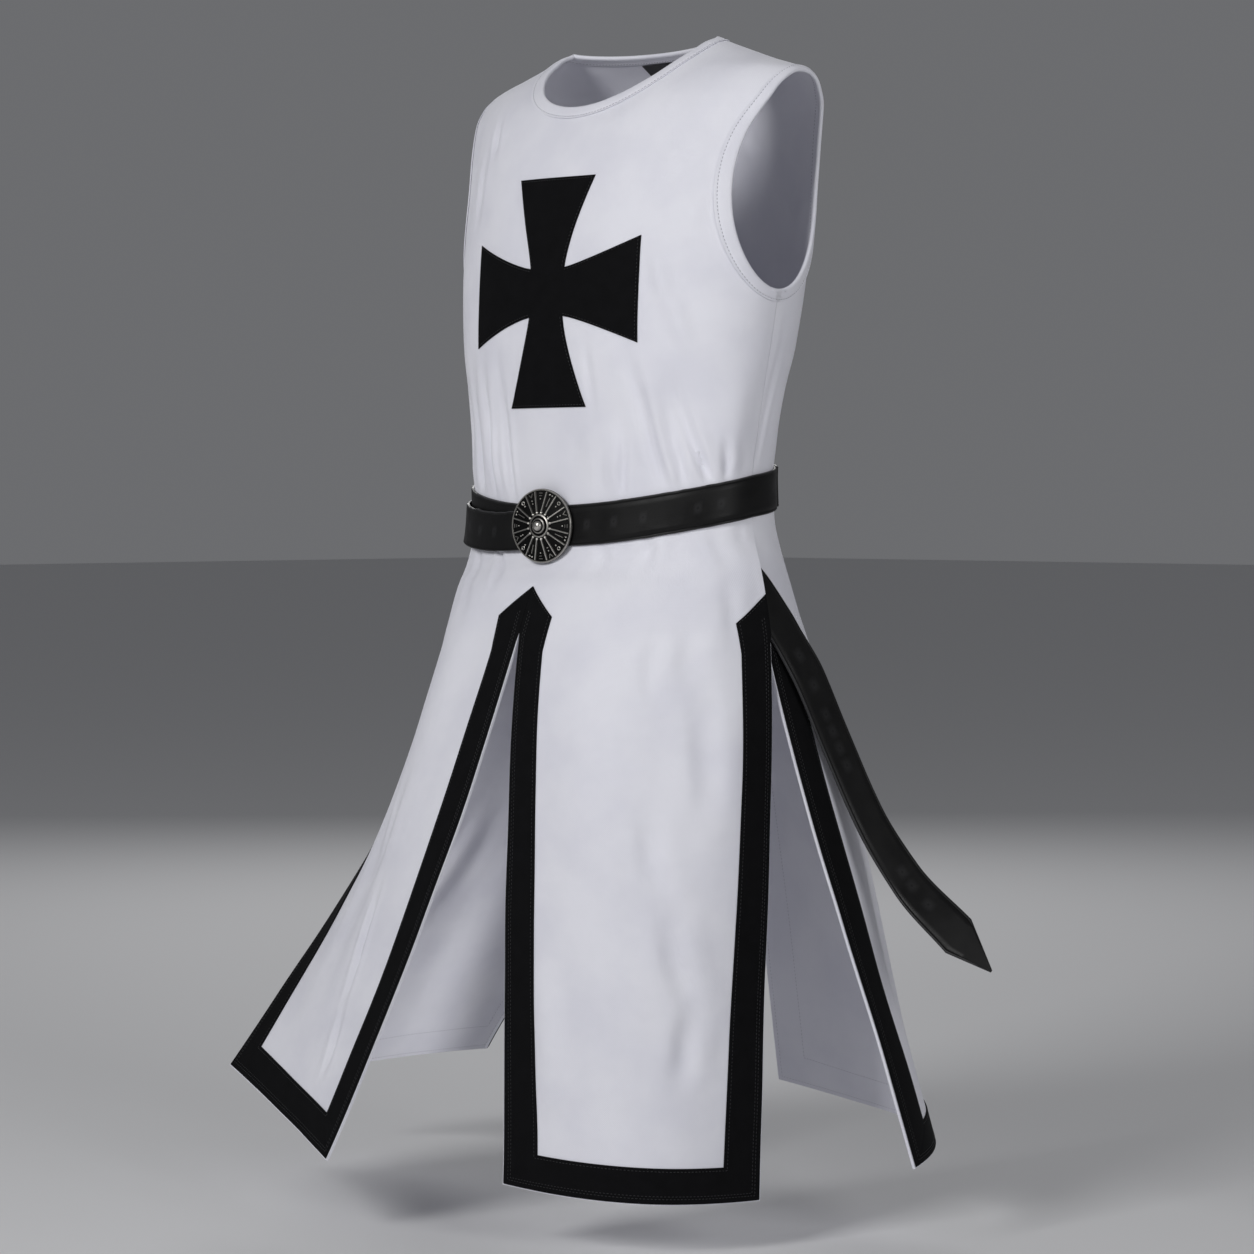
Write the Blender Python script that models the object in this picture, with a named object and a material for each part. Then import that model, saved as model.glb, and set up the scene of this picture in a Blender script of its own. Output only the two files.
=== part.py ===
"""Medieval surcoat: a sleeveless white over-garment with a black cross, bordered
skirt panels and its own leather belt, hollow and held out as if worn.

Metres, +Z up. The garment faces -Y and the wearer's left is +X. The origin lies
between the two shoulder seams, level with their neck ends.
"""
import math

import bmesh
import bpy
import numpy as np
from mathutils import Matrix

# Cloth and gaps
CLOTH = 0.0020           # wall of the cotton twill with its inner facing
TRIM = 0.0012            # thickness of borders, bindings and cross
GAP = 0.0003             # air between sewn pieces
SKIN_LIFT = 0.0010       # lift of pieces whose points lie between the panel's own
BAND_LIFT = 0.0016       # the same round the neck and armholes, where the panel bends most

# Cut of the body
NECK_HALF = 0.100
NECK_FRONT_DROP = 0.068
NECK_BACK_DROP = 0.006
NECK_BAND = 0.012
SHOULDER_DROP = 0.038
UNDERARM_DROP = 0.250
ARMHOLE_FRONT = 0.062
ARMHOLE_BACK = 0.064
ARMHOLE_BAND = 0.012
NECK_CURVES = {"front": 1.1, "back": 1.2}        # more is a flatter curve at the centre
NECK_BAND_DOWN = {"front": 1.0, "back": 0.45}    # how much of the band's width shows as height
NECK_BAND_START = 0.0045                         # height of the band's lower edge at the shoulder
ARMHOLE_BAND_UP = 0.34                           # how much the band rises at the sloping shoulder
ROUNDNESS = 2.2          # 2 is an ellipse, more is squarer
BORDER = 0.035

# Grid of each quarter of the garment
COLUMNS = 12
BORDER_CELLS = 2
NECK_ROWS = 6
UNDERARM_ROW = 11
BELT_ROWS = (19, 20, 21)
PEAK_ROW = 24
SLIT_ROW = 25
SKIRT_ROWS = 16
HEM_ROW = SLIT_ROW + SKIRT_ROWS
OUTLINE_SAMPLES = 61
ROW_SAMPLES = 41
NORMAL_STEP = 0.004      # height step that outward directions are measured over
NORMAL_SHARE = 0.02      # the same across a quarter, as a share of it
TOP_LEVEL = -0.0005      # highest level that has an outline

# Sections of the body: height, half width, and y at the centre front, side seam and centre back
SECTIONS = (
    (0.000, 0.100, 0.013, 0.013, 0.013),
    (-0.006, 0.115, -0.016, 0.015, 0.038),
    (-0.013, 0.133, -0.026, 0.017, 0.050),
    (-0.024, 0.163, -0.040, 0.019, 0.066),
    (-0.038, 0.204, -0.054, 0.020, 0.082),
    (-0.052, 0.214, -0.068, 0.019, 0.093),
    (-0.068, 0.218, -0.080, 0.018, 0.102),
    (-0.100, 0.214, -0.095, 0.013, 0.112),
    (-0.137, 0.208, -0.107, 0.008, 0.118),
    (-0.200, 0.204, -0.118, -0.002, 0.119),
    (-0.250, 0.199, -0.122, -0.008, 0.115),
    (-0.295, 0.194, -0.124, -0.012, 0.106),
    (-0.340, 0.188, -0.123, -0.016, 0.094),
    (-0.385, 0.182, -0.120, -0.019, 0.083),
    (-0.424, 0.178, -0.118, -0.021, 0.078),
    (-0.466, 0.178, -0.116, -0.021, 0.081),
    (-0.490, 0.181, -0.116, -0.021, 0.090),
    (-0.510, 0.185, -0.121, -0.021, 0.099),
    (-0.532, 0.189, -0.138, -0.020, 0.109),
    (-0.575, 0.197, -0.156, -0.020, 0.127),
    (-0.620, 0.205, -0.170, -0.020, 0.145),
)

# Rows below the underarm: height at the centre front, side seam and centre back, how much
# lower the row lies away from its ends, and the width of its first and last cell
LOWER_ROWS = (
    (-0.240, -0.268, -0.238, 0.000, 0.035, 0.018),
    (-0.267, -0.288, -0.262, 0.000, 0.035, 0.024),
    (-0.295, -0.309, -0.286, 0.000, 0.035, 0.030),
    (-0.325, -0.331, -0.310, 0.000, 0.035, 0.035),
    (-0.357, -0.354, -0.334, 0.000, 0.035, 0.035),
    (-0.389, -0.378, -0.358, 0.000, 0.035, 0.035),
    (-0.421, -0.401, -0.382, 0.000, 0.035, 0.035),
    (-0.453, -0.424, -0.405, 0.000, 0.035, 0.035),
    (-0.473, -0.444, -0.425, 0.000, 0.035, 0.035),
    (-0.493, -0.464, -0.445, 0.000, 0.035, 0.035),
    (-0.506, -0.487, -0.474, 0.002, 0.035, 0.035),
    (-0.519, -0.510, -0.503, 0.012, 0.035, 0.035),
    (-0.532, -0.537, -0.532, 0.028, 0.035, 0.035),
    (-0.575, -0.575, -0.575, 0.018, 0.035, 0.035),
)
# Heights of the rows at the centre line between the neck and the underarm's level
CHEST_CENTRE = (-0.068, -0.096, -0.124, -0.152, -0.182, -0.213)
BACK_CENTRE = (-0.006, -0.020, -0.045, -0.085, -0.145, -0.213)
# Places of the row ends round half an armhole, from the shoulder to the underarm
ARMHOLE_TURNS = (0.0, 0.09, 0.18, 0.27, 0.36, 0.45, 0.54, 0.63, 0.72, 0.80, 0.88, 1.0)
UPPER_FIRST_CELL = (0.012, 0.012, 0.012, 0.012, 0.012, 0.012, 0.014, 0.018, 0.023, 0.028, 0.033, 0.035)

# Hems of the four skirt panels: side (+1 is the wearer's left), face, corner at the middle
# slit, corner at the side slit, how far the hem bows out and how far to the side slit the
# bow lies, and how far the lower third of the panel hangs in before it kicks out
HEMS = (
    (1, "front", (0.005, -0.186, -1.104), (0.190, -0.023, -1.117), 0.058, 0.00, 0.000),
    (-1, "front", (-0.145, -0.280, -1.088), (-0.380, -0.209, -1.029), -0.003, 0.00, 0.016),
    (1, "back", (0.035, 0.175, -1.040), (0.300, 0.075, -1.085), 0.070, 0.35, 0.000),
    (-1, "back", (-0.270, 0.050, -1.028), (-0.515, 0.041, -1.072), 0.035, 0.00, 0.010),
)

# Largest folds: side, face, place across (0 centre, 1 side), half width, first row, last row, height
FOLDS = (
    (1, "front", 0.30, 0.16, 16, 19.4, 0.0035),
    (1, "front", 0.62, 0.15, 14, 19.2, -0.0045),
    (1, "front", 0.86, 0.12, 14, 19.2, 0.0030),
    (-1, "front", 0.35, 0.16, 16, 19.4, 0.0035),
    (-1, "front", 0.66, 0.15, 14, 19.2, -0.0040),
    (1, "back", 0.30, 0.16, 15, 19.2, 0.0040),
    (1, "back", 0.70, 0.15, 14, 19.2, -0.0040),
    (-1, "back", 0.32, 0.16, 15, 19.2, -0.0040),
    (-1, "back", 0.70, 0.15, 14, 19.2, 0.0040),
    (1, "front", 0.35, 0.18, 21, 36, 0.0050),
    (1, "front", 0.62, 0.16, 21, 34, -0.0040),
    (-1, "front", 0.42, 0.20, 21, 34, 0.0060),
    (-1, "front", 0.56, 0.12, 28, 39, -0.0050),
    (1, "back", 0.30, 0.18, 22, 44, -0.0080),
    (1, "back", 0.55, 0.18, 21, 44, 0.0070),
    (-1, "back", 0.40, 0.18, 22, 44, -0.0080),
    (-1, "back", 0.65, 0.16, 21, 44, 0.0060),
)

# Heights between which the body's slope is measured where the skirt leaves it, and how much
# of that slope the skirt keeps
SKIRT_LEAVES = (-0.575, -0.615)
SLOPE_KEPT = 0.45

# Left side slit: how far its two edges part at each row to let the belt's tail through
PARTED_ROWS = (21, 22, 23, 24, 25, 26, 27, 30, 33)
PARTED_BY = (0.0, 0.0005, 0.0034, 0.004, 0.004, 0.004, 0.0035, 0.0015, 0.0)
PARTED_COLUMNS = (1.0, 0.6, 0.3, 0.1)

# Cross
CROSS_HEIGHT = -0.248
CROSS_REACH = 0.111
CROSS_WAIST = 0.0235     # half width where the arms meet
CROSS_END = 0.051        # half width at the tips
CROSS_FLARE = 1.25       # more keeps the arms narrow for longer
CROSS_CELLS = 4
CROSS_ARM_CELLS = 5
CROSS_JOIN = 1e-4        # points of its five patches closer than this are one

# Neck label
LABEL_HALF = 0.030
LABEL_TOP = -0.011
LABEL_DEPTH = 0.017
LABEL_LIFT = 0.0016
LABEL_CLOTH = 0.0008

# Belt
BELT_HALF = 0.020
LEATHER = 0.0026
BELT_LIFT = 0.0005
BELT_END = 0.001         # how far each end runs past the middle, behind the buckle
WRAP_LIFT = BELT_LIFT + LEATHER + 0.0006
WRAP_START = 0.012       # its end behind the buckle, right of the middle
WRAP_LOWER = 0.017       # how far the second turn hangs below the first at the side
WRAP_SAG = 0.8           # less lowers it sooner after the buckle
WRAP_STAND_OFF = (0.0016, 0.0032, 0.0055)   # how far its top, middle and bottom stand off there
WRAP_END = 0.70          # where it ends on the back left quarter

# Buckle
BUCKLE_RADIUS = 0.036
BUCKLE_CENTRE = (-0.002, -0.1243, -0.473)
BUCKLE_TURN = 9.0        # degrees that it faces towards the wearer's left
BUCKLE_RIBS = 16
RIB_HEIGHT = 0.0010
# Radius as a share of the plate's, height, and how much a rib adds, from rim to middle
BUCKLE_PROFILE = (
    (1.00, 0.0000, 0.0), (1.00, 0.0030, 0.0), (0.95, 0.0042, 0.0), (0.88, 0.0042, 0.0),
    (0.85, 0.0034, 0.4), (0.60, 0.0056, 1.0), (0.36, 0.0070, 1.0), (0.31, 0.0088, 0.0),
    (0.20, 0.0092, 0.0), (0.16, 0.0112, 0.0), (0.07, 0.0124, 0.0),
)

# Free tail of the belt: centre x, y, z, its slant from plumb in degrees, how far it is
# turned to the side, and how free it is of the body's side (0 lies on it)
TAIL = (
    (0.152, -0.070, -0.466, 22, 0.00, 0.0),
    (0.168, -0.058, -0.490, 28, 0.00, 0.0),
    (0.179, -0.041, -0.515, 36, 0.00, 0.0),
    (0.190, -0.021, -0.540, 39, 0.00, 0.0),
    (0.203, 0.004, -0.577, 36, 0.05, 0.3),
    (0.2115, 0.025, -0.620, 31, 0.00, 1.0),
    (0.218, 0.044, -0.663, 29, 0.00, 1.0),
    (0.229, 0.061, -0.710, 30, 0.00, 1.0),
    (0.247, 0.073, -0.757, 33, 0.00, 1.0),
    (0.284, 0.082, -0.810, 40, 0.08, 1.0),
    (0.350, 0.081, -0.859, 48, 0.24, 1.0),
)
TAIL_POINT = 0.050
TAIL_POINT_SHAPE = ((0.50, 0.53), (1.0, 0.06))   # share of the point's length, and of the width there
TAIL_STEPS = 26
TAIL_Y = (-0.085, -0.055, -0.038, -0.020, 0.015)
TAIL_DEPTH = (-0.0090, -0.0056, -0.0034, 0.0010, 0.0056)


def clear_scene():
    """Starts from an empty scene."""
    for thing in list(bpy.data.objects):
        bpy.data.objects.remove(thing, do_unlink=True)


def finish(name, color, roughness, metallic=0.0):
    """A plain Principled material."""
    material = bpy.data.materials.new(name)
    material.use_nodes = True
    shader = material.node_tree.nodes["Principled BSDF"]
    shader.inputs["Base Color"].default_value = (*color, 1.0)
    shader.inputs["Roughness"].default_value = roughness
    shader.inputs["Metallic"].default_value = metallic
    return material


def smooth_curve(where, knots, values):
    """Monotone cubic curve through rising knots."""
    knots = np.asarray(knots, float)
    values = np.asarray(values, float)
    steps = np.diff(knots)
    rises = np.diff(values) / steps
    slopes = np.zeros_like(values)
    slopes[0] = rises[0]
    slopes[-1] = rises[-1]
    same = rises[:-1] * rises[1:] > 0.0
    inner = np.zeros(len(same))
    inner[same] = 2.0 * rises[:-1][same] * rises[1:][same] / (rises[:-1][same] + rises[1:][same])
    slopes[1:-1] = inner
    where = np.clip(where, knots[0], knots[-1])
    cell = np.clip(np.searchsorted(knots, where) - 1, 0, len(steps) - 1)
    t = (where - knots[cell]) / steps[cell]
    h = steps[cell]
    rest = 1.0 - t
    return ((1.0 + 2.0 * t) * rest ** 2 * values[cell] + t * rest ** 2 * h * slopes[cell]
            + t ** 2 * (3.0 - 2.0 * t) * values[cell + 1] - t ** 2 * rest * h * slopes[cell + 1])


SECTION_TABLE = np.array(SECTIONS)[::-1]


def section(z):
    """Half width and the three depths of the body at a height."""
    return [float(smooth_curve(z, SECTION_TABLE[:, 0], SECTION_TABLE[:, k])) for k in range(1, 5)]


def quarter_outline(side, face, z):
    """Outline of one quarter from the centre line to the side seam, and its running length."""
    half, front_y, side_y, back_y = section(z)
    centre_y = front_y if face == "front" else back_y
    angle = np.linspace(0.0, math.pi / 2.0, OUTLINE_SAMPLES)
    power = 2.0 / ROUNDNESS
    x = side * half * np.sin(angle) ** power
    y = side_y + (centre_y - side_y) * np.cos(angle) ** power
    length = np.concatenate(([0.0], np.cumsum(np.hypot(np.diff(x), np.diff(y)))))
    return x, y, length


def body_point(side, face, across, z):
    """Point of the outer face: across is 0 at the centre line and 1 at the side seam."""
    x, y, length = quarter_outline(side, face, z)
    reach = np.clip(across, 0.0, 1.0) * length[-1]
    return np.array((np.interp(reach, length, x), np.interp(reach, length, y), z))


def across_at(side, face, z, x=None, y=None):
    """Where on the quarter a given x or y lies."""
    outline_x, outline_y, length = quarter_outline(side, face, z)
    share = length / length[-1]
    if x is not None:
        return float(np.interp(abs(x), np.abs(outline_x), share))
    turned = 1.0 if face == "front" else -1.0
    return float(np.interp(turned * y, turned * outline_y, share))


def body_normal(side, face, across, z):
    """Outward direction of the body at a place on its outer face."""
    upper = body_point(side, face, across, min(z + NORMAL_STEP, TOP_LEVEL))
    lower = body_point(side, face, across, z - NORMAL_STEP)
    near = body_point(side, face, max(across - NORMAL_SHARE, 0.0), z)
    far = body_point(side, face, min(across + NORMAL_SHARE, 1.0), z)
    along = far - near
    turned = 1.0 if face == "front" else -1.0
    if across < NORMAL_SHARE:
        along[1] = 0.0
    if across > 1.0 - NORMAL_SHARE:
        along = np.array((0.0, turned, 0.0))
    normal = np.cross(lower - upper, along) * side * turned
    return normal / np.linalg.norm(normal)


def neck_edge(side, face, turn, band=0.0):
    """A place on the neck's edge or on its band's lower edge; turn is 1 at the shoulder."""
    drop = NECK_FRONT_DROP if face == "front" else NECK_BACK_DROP
    swing = turn * math.pi / 2.0
    start = NECK_BAND_START * band / NECK_BAND
    lowest = drop + NECK_BAND_DOWN[face] * band
    z = -start - (lowest - start) * math.cos(swing) ** NECK_CURVES[face]
    x = (NECK_HALF + band) * math.sin(swing)
    return across_at(side, face, z, x=x), z


def armhole_edge(side, face, turn, band=0.0):
    """A place on the armhole's edge or its band's outer edge; turn runs 0 to 1, top to bottom."""
    top = SHOULDER_DROP - ARMHOLE_BAND_UP * band
    bottom = UNDERARM_DROP + band
    swing = turn * math.pi
    z = -0.5 * (top + bottom) + 0.5 * (bottom - top) * math.cos(swing)
    depth = ARMHOLE_FRONT if face == "front" else ARMHOLE_BACK
    side_y = section(z)[2]
    reach = (depth + band) * math.sin(swing)
    y = side_y - reach if face == "front" else side_y + reach
    if reach < 1e-6:
        return 1.0, z
    return across_at(side, face, z, y=y), z


def row_ends(side, face, row):
    """Both ends of a row on the body, its droop, and its first and last cell."""
    if row <= UNDERARM_ROW:
        far = armhole_edge(side, face, ARMHOLE_TURNS[row])
        if row <= NECK_ROWS:
            near = neck_edge(side, face, 1.0 - row / NECK_ROWS)
        else:
            heights = CHEST_CENTRE if face == "front" else BACK_CENTRE
            near = (0.0, heights[row - NECK_ROWS])
        return near, far, 0.0, UPPER_FIRST_CELL[row], ARMHOLE_BAND, 1.0
    front_z, side_z, back_z, droop, first, last = LOWER_ROWS[row - UNDERARM_ROW - 1]
    centre_z = front_z if face == "front" else back_z
    return (0.0, centre_z), (1.0, side_z), droop, first, last, 0.0


def spread_columns(width, first, last):
    """Places of the columns across a row: the border's cells at both ends, even between."""
    near = np.linspace(0.0, first, BORDER_CELLS + 1)[:-1]
    far = width - np.linspace(last, 0.0, BORDER_CELLS + 1)[1:]
    return np.concatenate((near, np.linspace(first, width - last, COLUMNS - 2 * BORDER_CELLS + 1), far))


def body_row(side, face, row):
    """Points of one row of the body, from the centre or neck to the side or armhole."""
    near, far, droop, first, last, straight = row_ends(side, face, row)

    def place(s):
        ease = straight * s + (1.0 - straight) * (1.0 - math.cos(s * math.pi / 2.0))
        return near[0] + (far[0] - near[0]) * s, near[1] + (far[1] - near[1]) * ease

    samples = np.linspace(0.0, 1.0, ROW_SAMPLES)
    points = np.array([body_point(side, face, *place(s)) for s in samples])
    length = np.concatenate(([0.0], np.cumsum(np.linalg.norm(np.diff(points, axis=0), axis=1))))
    wanted = spread_columns(length[-1], first, last)
    row_points = []
    for column, s in enumerate(np.interp(wanted, length, samples)):
        across, z = place(s)
        from_end = min(column, COLUMNS - column)
        lower = droop * min(from_end / BORDER_CELLS, 1.0)
        row_points.append(body_point(side, face, across, z - lower))
    return np.array(row_points)


def skirt_rows(side, face, top, slope):
    """Rows of one skirt panel, from its slits' top to its hem."""
    hem = next(row for row in HEMS if row[0] == side and row[1] == face)
    middle_corner, side_corner, bow, skew, kick = np.array(hem[2]), np.array(hem[3]), *hem[4:]
    chord = side_corner - middle_corner
    out = np.array((chord[1], -chord[0], 0.0))
    out /= np.linalg.norm(out)
    if out @ (middle_corner + side_corner) < 0.0:
        out = -out
    width = np.linalg.norm(chord)
    ends = spread_columns(1.0, BORDER / width, BORDER / width)
    columns = []
    for column, s in enumerate(ends):
        bulge = bow * 4.0 * s * (1.0 - s) * (1.0 + skew * (2.0 * s - 1.0))
        end = middle_corner + chord * s + out * bulge
        start = top[column]
        length = np.linalg.norm(end - start)
        straight = start + (end - start) / 3.0
        sloping = start + slope[column] * length / 3.0
        leave = (1.0 - SLOPE_KEPT) * straight + SLOPE_KEPT * sloping
        arrive = start + (end - start) * 2.0 / 3.0 - out * kick
        steps = np.linspace(0.0, 1.0 - BORDER / length, SKIRT_ROWS)
        t = np.concatenate((steps, [1.0]))[:, None]
        columns.append((1 - t) ** 3 * start + 3 * (1 - t) ** 2 * t * leave
                       + 3 * (1 - t) * t ** 2 * arrive + t ** 3 * end)
    return np.stack(columns, axis=1)[1:]


def surface_normals(points, side, face):
    """Outward directions at the points of a quarter."""
    across = np.gradient(points, axis=1)
    down = np.gradient(points, axis=0)
    normals = np.cross(across, down)
    normals /= np.linalg.norm(normals, axis=2, keepdims=True)
    turned = -side if face == "front" else side
    return normals * turned


def bump(value):
    """Soft hump, 1 at 0 and 0 at 1 and beyond."""
    value = np.clip(np.abs(value), 0.0, 1.0)
    return 0.5 + 0.5 * np.cos(math.pi * value)


def fold_heights(side, face):
    """How far the largest folds lift each point of a quarter."""
    rows = np.arange(HEM_ROW + 1)[:, None]
    places = np.linspace(0.0, 1.0, COLUMNS + 1)[None, :]
    total = np.zeros((HEM_ROW + 1, COLUMNS + 1))
    for fold_side, fold_face, place, half, first, last, height in FOLDS:
        if fold_side != side or fold_face != face:
            continue
        middle = 0.5 * (first + last)
        total = total + height * bump((places - place) / half) * bump((rows - middle) / (last - middle))
    return total


def build_quarters():
    """Points and outward directions of the four quarters, seams and folds included."""
    quarters = {}
    for side in (1, -1):
        for face in ("front", "back"):
            rows = np.array([body_row(side, face, row) for row in range(SLIT_ROW + 1)])
            shares = np.linspace(0.0, 1.0, COLUMNS + 1)
            above, below = (np.array([body_point(side, face, s, z) for s in shares]) for z in SKIRT_LEAVES)
            slope = below - above
            slope /= np.linalg.norm(slope, axis=1, keepdims=True)
            points = np.concatenate((rows, skirt_rows(side, face, rows[SLIT_ROW], slope)))
            quarters[side, face] = [points, surface_normals(points, side, face)]
    share_normals(quarters)
    for (side, face), (points, normals) in quarters.items():
        points += normals * fold_heights(side, face)[:, :, None]
        if side == 1:
            part = np.interp(np.arange(HEM_ROW + 1), PARTED_ROWS, PARTED_BY)
            direction = 1.0 if face == "front" else -1.0
            for back, weight in enumerate(PARTED_COLUMNS):
                points[:, COLUMNS - back, 0] += direction * weight * part
        quarters[side, face][1] = surface_normals(points, side, face)
    share_normals(quarters)
    for (side, face), (points, normals) in quarters.items():
        seam = -0.5 * GAP if face == "front" else 0.5 * GAP
        points[0, :, 1] += seam
        points[UNDERARM_ROW:, COLUMNS, 1] += seam
    return quarters


def share_normals(quarters):
    """Gives both sides of each seam and centre line one direction, so walls meet squarely."""
    def join(first, second, rows, column):
        both = quarters[first][1][rows, column] + quarters[second][1][rows, column]
        both /= np.linalg.norm(both, axis=-1, keepdims=True)
        quarters[first][1][rows, column] = both
        quarters[second][1][rows, column] = both

    for face in ("front", "back"):
        join((1, face), (-1, face), slice(NECK_ROWS, SLIT_ROW + 1), 0)
    for side in (1, -1):
        join((side, "front"), (side, "back"), slice(UNDERARM_ROW, SLIT_ROW + 1), COLUMNS)
        join((side, "front"), (side, "back"), 0, slice(0, COLUMNS + 1))


def sheet(bm, points, normals, direction):
    """Adds a grid through points; each vertex keeps its outward direction."""
    count_down, count_across = points.shape[:2]
    made = bmesh.ops.create_grid(bm, x_segments=count_across - 1, y_segments=count_down - 1, size=1.0)
    for vert in made["verts"]:
        column = round((vert.co.x + 1.0) / 2.0 * (count_across - 1))
        row = round((vert.co.y + 1.0) / 2.0 * (count_down - 1))
        vert.co = points[row, column]
        vert[direction] = normals[row, column]
    return made["verts"]


def thicken(bm, direction, lift, thickness, joined=1e-5):
    """Turns sheets into closed walls: from lift to lift + thickness along each direction."""
    bmesh.ops.remove_doubles(bm, verts=bm.verts[:], dist=joined)
    for vert in bm.verts:
        vert.co = vert.co + vert[direction] * lift
    made = bmesh.ops.extrude_face_region(bm, geom=bm.faces[:], use_keep_orig=True)
    for part in made["geom"]:
        if isinstance(part, bmesh.types.BMVert):
            part.co = part.co + part[direction] * thickness
    bmesh.ops.triangulate(bm, faces=bm.faces[:], quad_method="SHORT_EDGE")
    bmesh.ops.recalc_face_normals(bm, faces=bm.faces[:])


def new_sheet():
    """An empty mesh whose points keep an outward direction."""
    bm = bmesh.new()
    return bm, bm.verts.layers.float_vector.new("outward")


def add_object(name, bm, material, sharp_angle=50.0):
    """Stores a mesh as a named, smooth-shaded object."""
    mesh = bpy.data.meshes.new(name)
    bm.to_mesh(mesh)
    bm.free()
    mesh.shade_smooth()
    mesh.set_sharp_from_angle(angle=math.radians(sharp_angle))
    mesh.materials.append(material)
    thing = bpy.data.objects.new(name, mesh)
    bpy.context.scene.collection.objects.link(thing)
    return thing


def build_panel(name, face, quarters, material):
    """Front or back: two quarters in one cloth, joined down the centre to the slit."""
    bm, direction = new_sheet()
    for side in (1, -1):
        points, normals = quarters[side, face]
        sheet(bm, points, normals, direction)
    thicken(bm, direction, -CLOTH, CLOTH)
    add_object(name, bm, material)


def build_border(name, side, face, quarters, material):
    """Black border of one skirt panel, made from the panel's own points, moved out."""
    points, normals = quarters[side, face]
    points = points[PEAK_ROW:].copy()
    points[:2, 0, 0] += side * 0.5 * GAP
    bm, direction = new_sheet()
    sheet(bm, points, normals[PEAK_ROW:], direction)
    count = COLUMNS + 1
    last_row = HEM_ROW - PEAK_ROW
    bm.verts.ensure_lookup_table()
    inside = []
    for face_cell in bm.faces:
        spots = [vert.index for vert in face_cell.verts]
        column = min(spot % count for spot in spots)
        row = min(spot // count for spot in spots)
        if BORDER_CELLS <= column < COLUMNS - BORDER_CELLS and row < last_row - 1:
            inside.append(face_cell)
    bmesh.ops.delete(bm, geom=inside, context="FACES")
    thicken(bm, direction, GAP, TRIM)
    add_object(name, bm, material)


def build_band(name, edges, steps, closed, material):
    """Flat band between an edge and its inner line, laid on the body's outer face."""
    points = np.zeros((steps + 1, 3, 3))
    normals = np.zeros((steps + 1, 3, 3))
    for step in range(steps + 1):
        for column, band in enumerate((0.0, 0.5, 1.0)):
            side, face, across, z = edges(step / steps, band)
            normals[step, column] = body_normal(side, face, across, z)
            points[step, column] = body_point(side, face, across, z)
    if closed:
        points[-1] = points[0]
        normals[-1] = normals[0]
    bm, direction = new_sheet()
    sheet(bm, points, normals, direction)
    thicken(bm, direction, BAND_LIFT, TRIM)
    add_object(name, bm, material)


def neck_places(turn, band):
    """Once round the neck: right shoulder, front, left shoulder, back."""
    quarter, share = divmod(turn * 4.0, 1.0)
    order = ((-1, "front"), (1, "front"), (1, "back"), (-1, "back"), (-1, "front"))
    side, face = order[int(quarter)]
    at = 1.0 - share if quarter % 2 == 0 else share
    return side, face, *neck_edge(side, face, at, band * NECK_BAND)


def armhole_places(side):
    """Once round an armhole: underarm, up the front, over the shoulder, down the back."""
    def places(turn, band):
        face = "front" if turn <= 0.5 else "back"
        row = round(abs(2.0 * turn - 1.0) * UNDERARM_ROW)
        return side, face, *armhole_edge(side, face, ARMHOLE_TURNS[row], band * ARMHOLE_BAND)
    return places


def build_cross(material):
    """Cross with four flaring arms, laid on the chest."""
    def arm_half(t):
        return CROSS_WAIST + (CROSS_END - CROSS_WAIST) * t ** CROSS_FLARE

    bm, direction = new_sheet()
    for right, up in ((0, 0), (1, 0), (-1, 0), (0, 1), (0, -1)):
        cells_along = CROSS_CELLS if (right, up) == (0, 0) else CROSS_ARM_CELLS
        grid = np.zeros((cells_along + 1, CROSS_CELLS + 1, 3))
        outward = np.zeros_like(grid)
        for row in range(cells_along + 1):
            for column in range(CROSS_CELLS + 1):
                v = 2.0 * column / CROSS_CELLS - 1.0
                t = row / cells_along
                reach = CROSS_WAIST + (CROSS_REACH - CROSS_WAIST) * t
                if (right, up) == (0, 0):
                    a, b = CROSS_WAIST * v, CROSS_WAIST * (2.0 * t - 1.0)
                elif right:
                    a, b = right * reach, arm_half(t) * v
                else:
                    a, b = arm_half(t) * v, up * reach
                side = 1 if a >= 0.0 else -1
                z = CROSS_HEIGHT + b
                width = quarter_outline(side, "front", z)[2][-1]
                grid[row, column] = body_point(side, "front", abs(a) / width, z)
                outward[row, column] = body_normal(side, "front", abs(a) / width, z)
        sheet(bm, grid, outward, direction)
    thicken(bm, direction, SKIN_LIFT, TRIM, joined=CROSS_JOIN)
    add_object("cross", bm, material)


def build_label(material):
    """Small bare woven label inside the back of the neck."""
    points = np.zeros((3, 7, 3))
    normals = np.zeros((3, 7, 3))
    for row in range(3):
        for column in range(7):
            x = LABEL_HALF * (column / 3.0 - 1.0)
            z = LABEL_TOP - LABEL_DEPTH * row / 2.0
            side = 1 if x >= 0.0 else -1
            across = across_at(side, "back", z, x=x)
            points[row, column] = body_point(side, "back", across, z)
            normals[row, column] = -body_normal(side, "back", across, z)
    bm, direction = new_sheet()
    sheet(bm, points, normals, direction)
    thicken(bm, direction, CLOTH + LABEL_LIFT, LABEL_CLOTH)
    add_object("neck_label", bm, material)


def waist_ring(quarters, rows):
    """Points and directions once round the waist: right front to left front by the back."""
    order = ((-1, "front", 1), (-1, "back", -1), (1, "back", 1), (1, "front", -1))
    points = [quarters[side, face][0][rows, ::step] for side, face, step in order]
    normals = [quarters[side, face][1][rows, ::step] for side, face, step in order]
    points = [piece if n == 0 else piece[:, 1:] for n, piece in enumerate(points)]
    normals = [piece if n == 0 else piece[:, 1:] for n, piece in enumerate(normals)]
    return np.concatenate(points, axis=1), np.concatenate(normals, axis=1)


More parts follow.
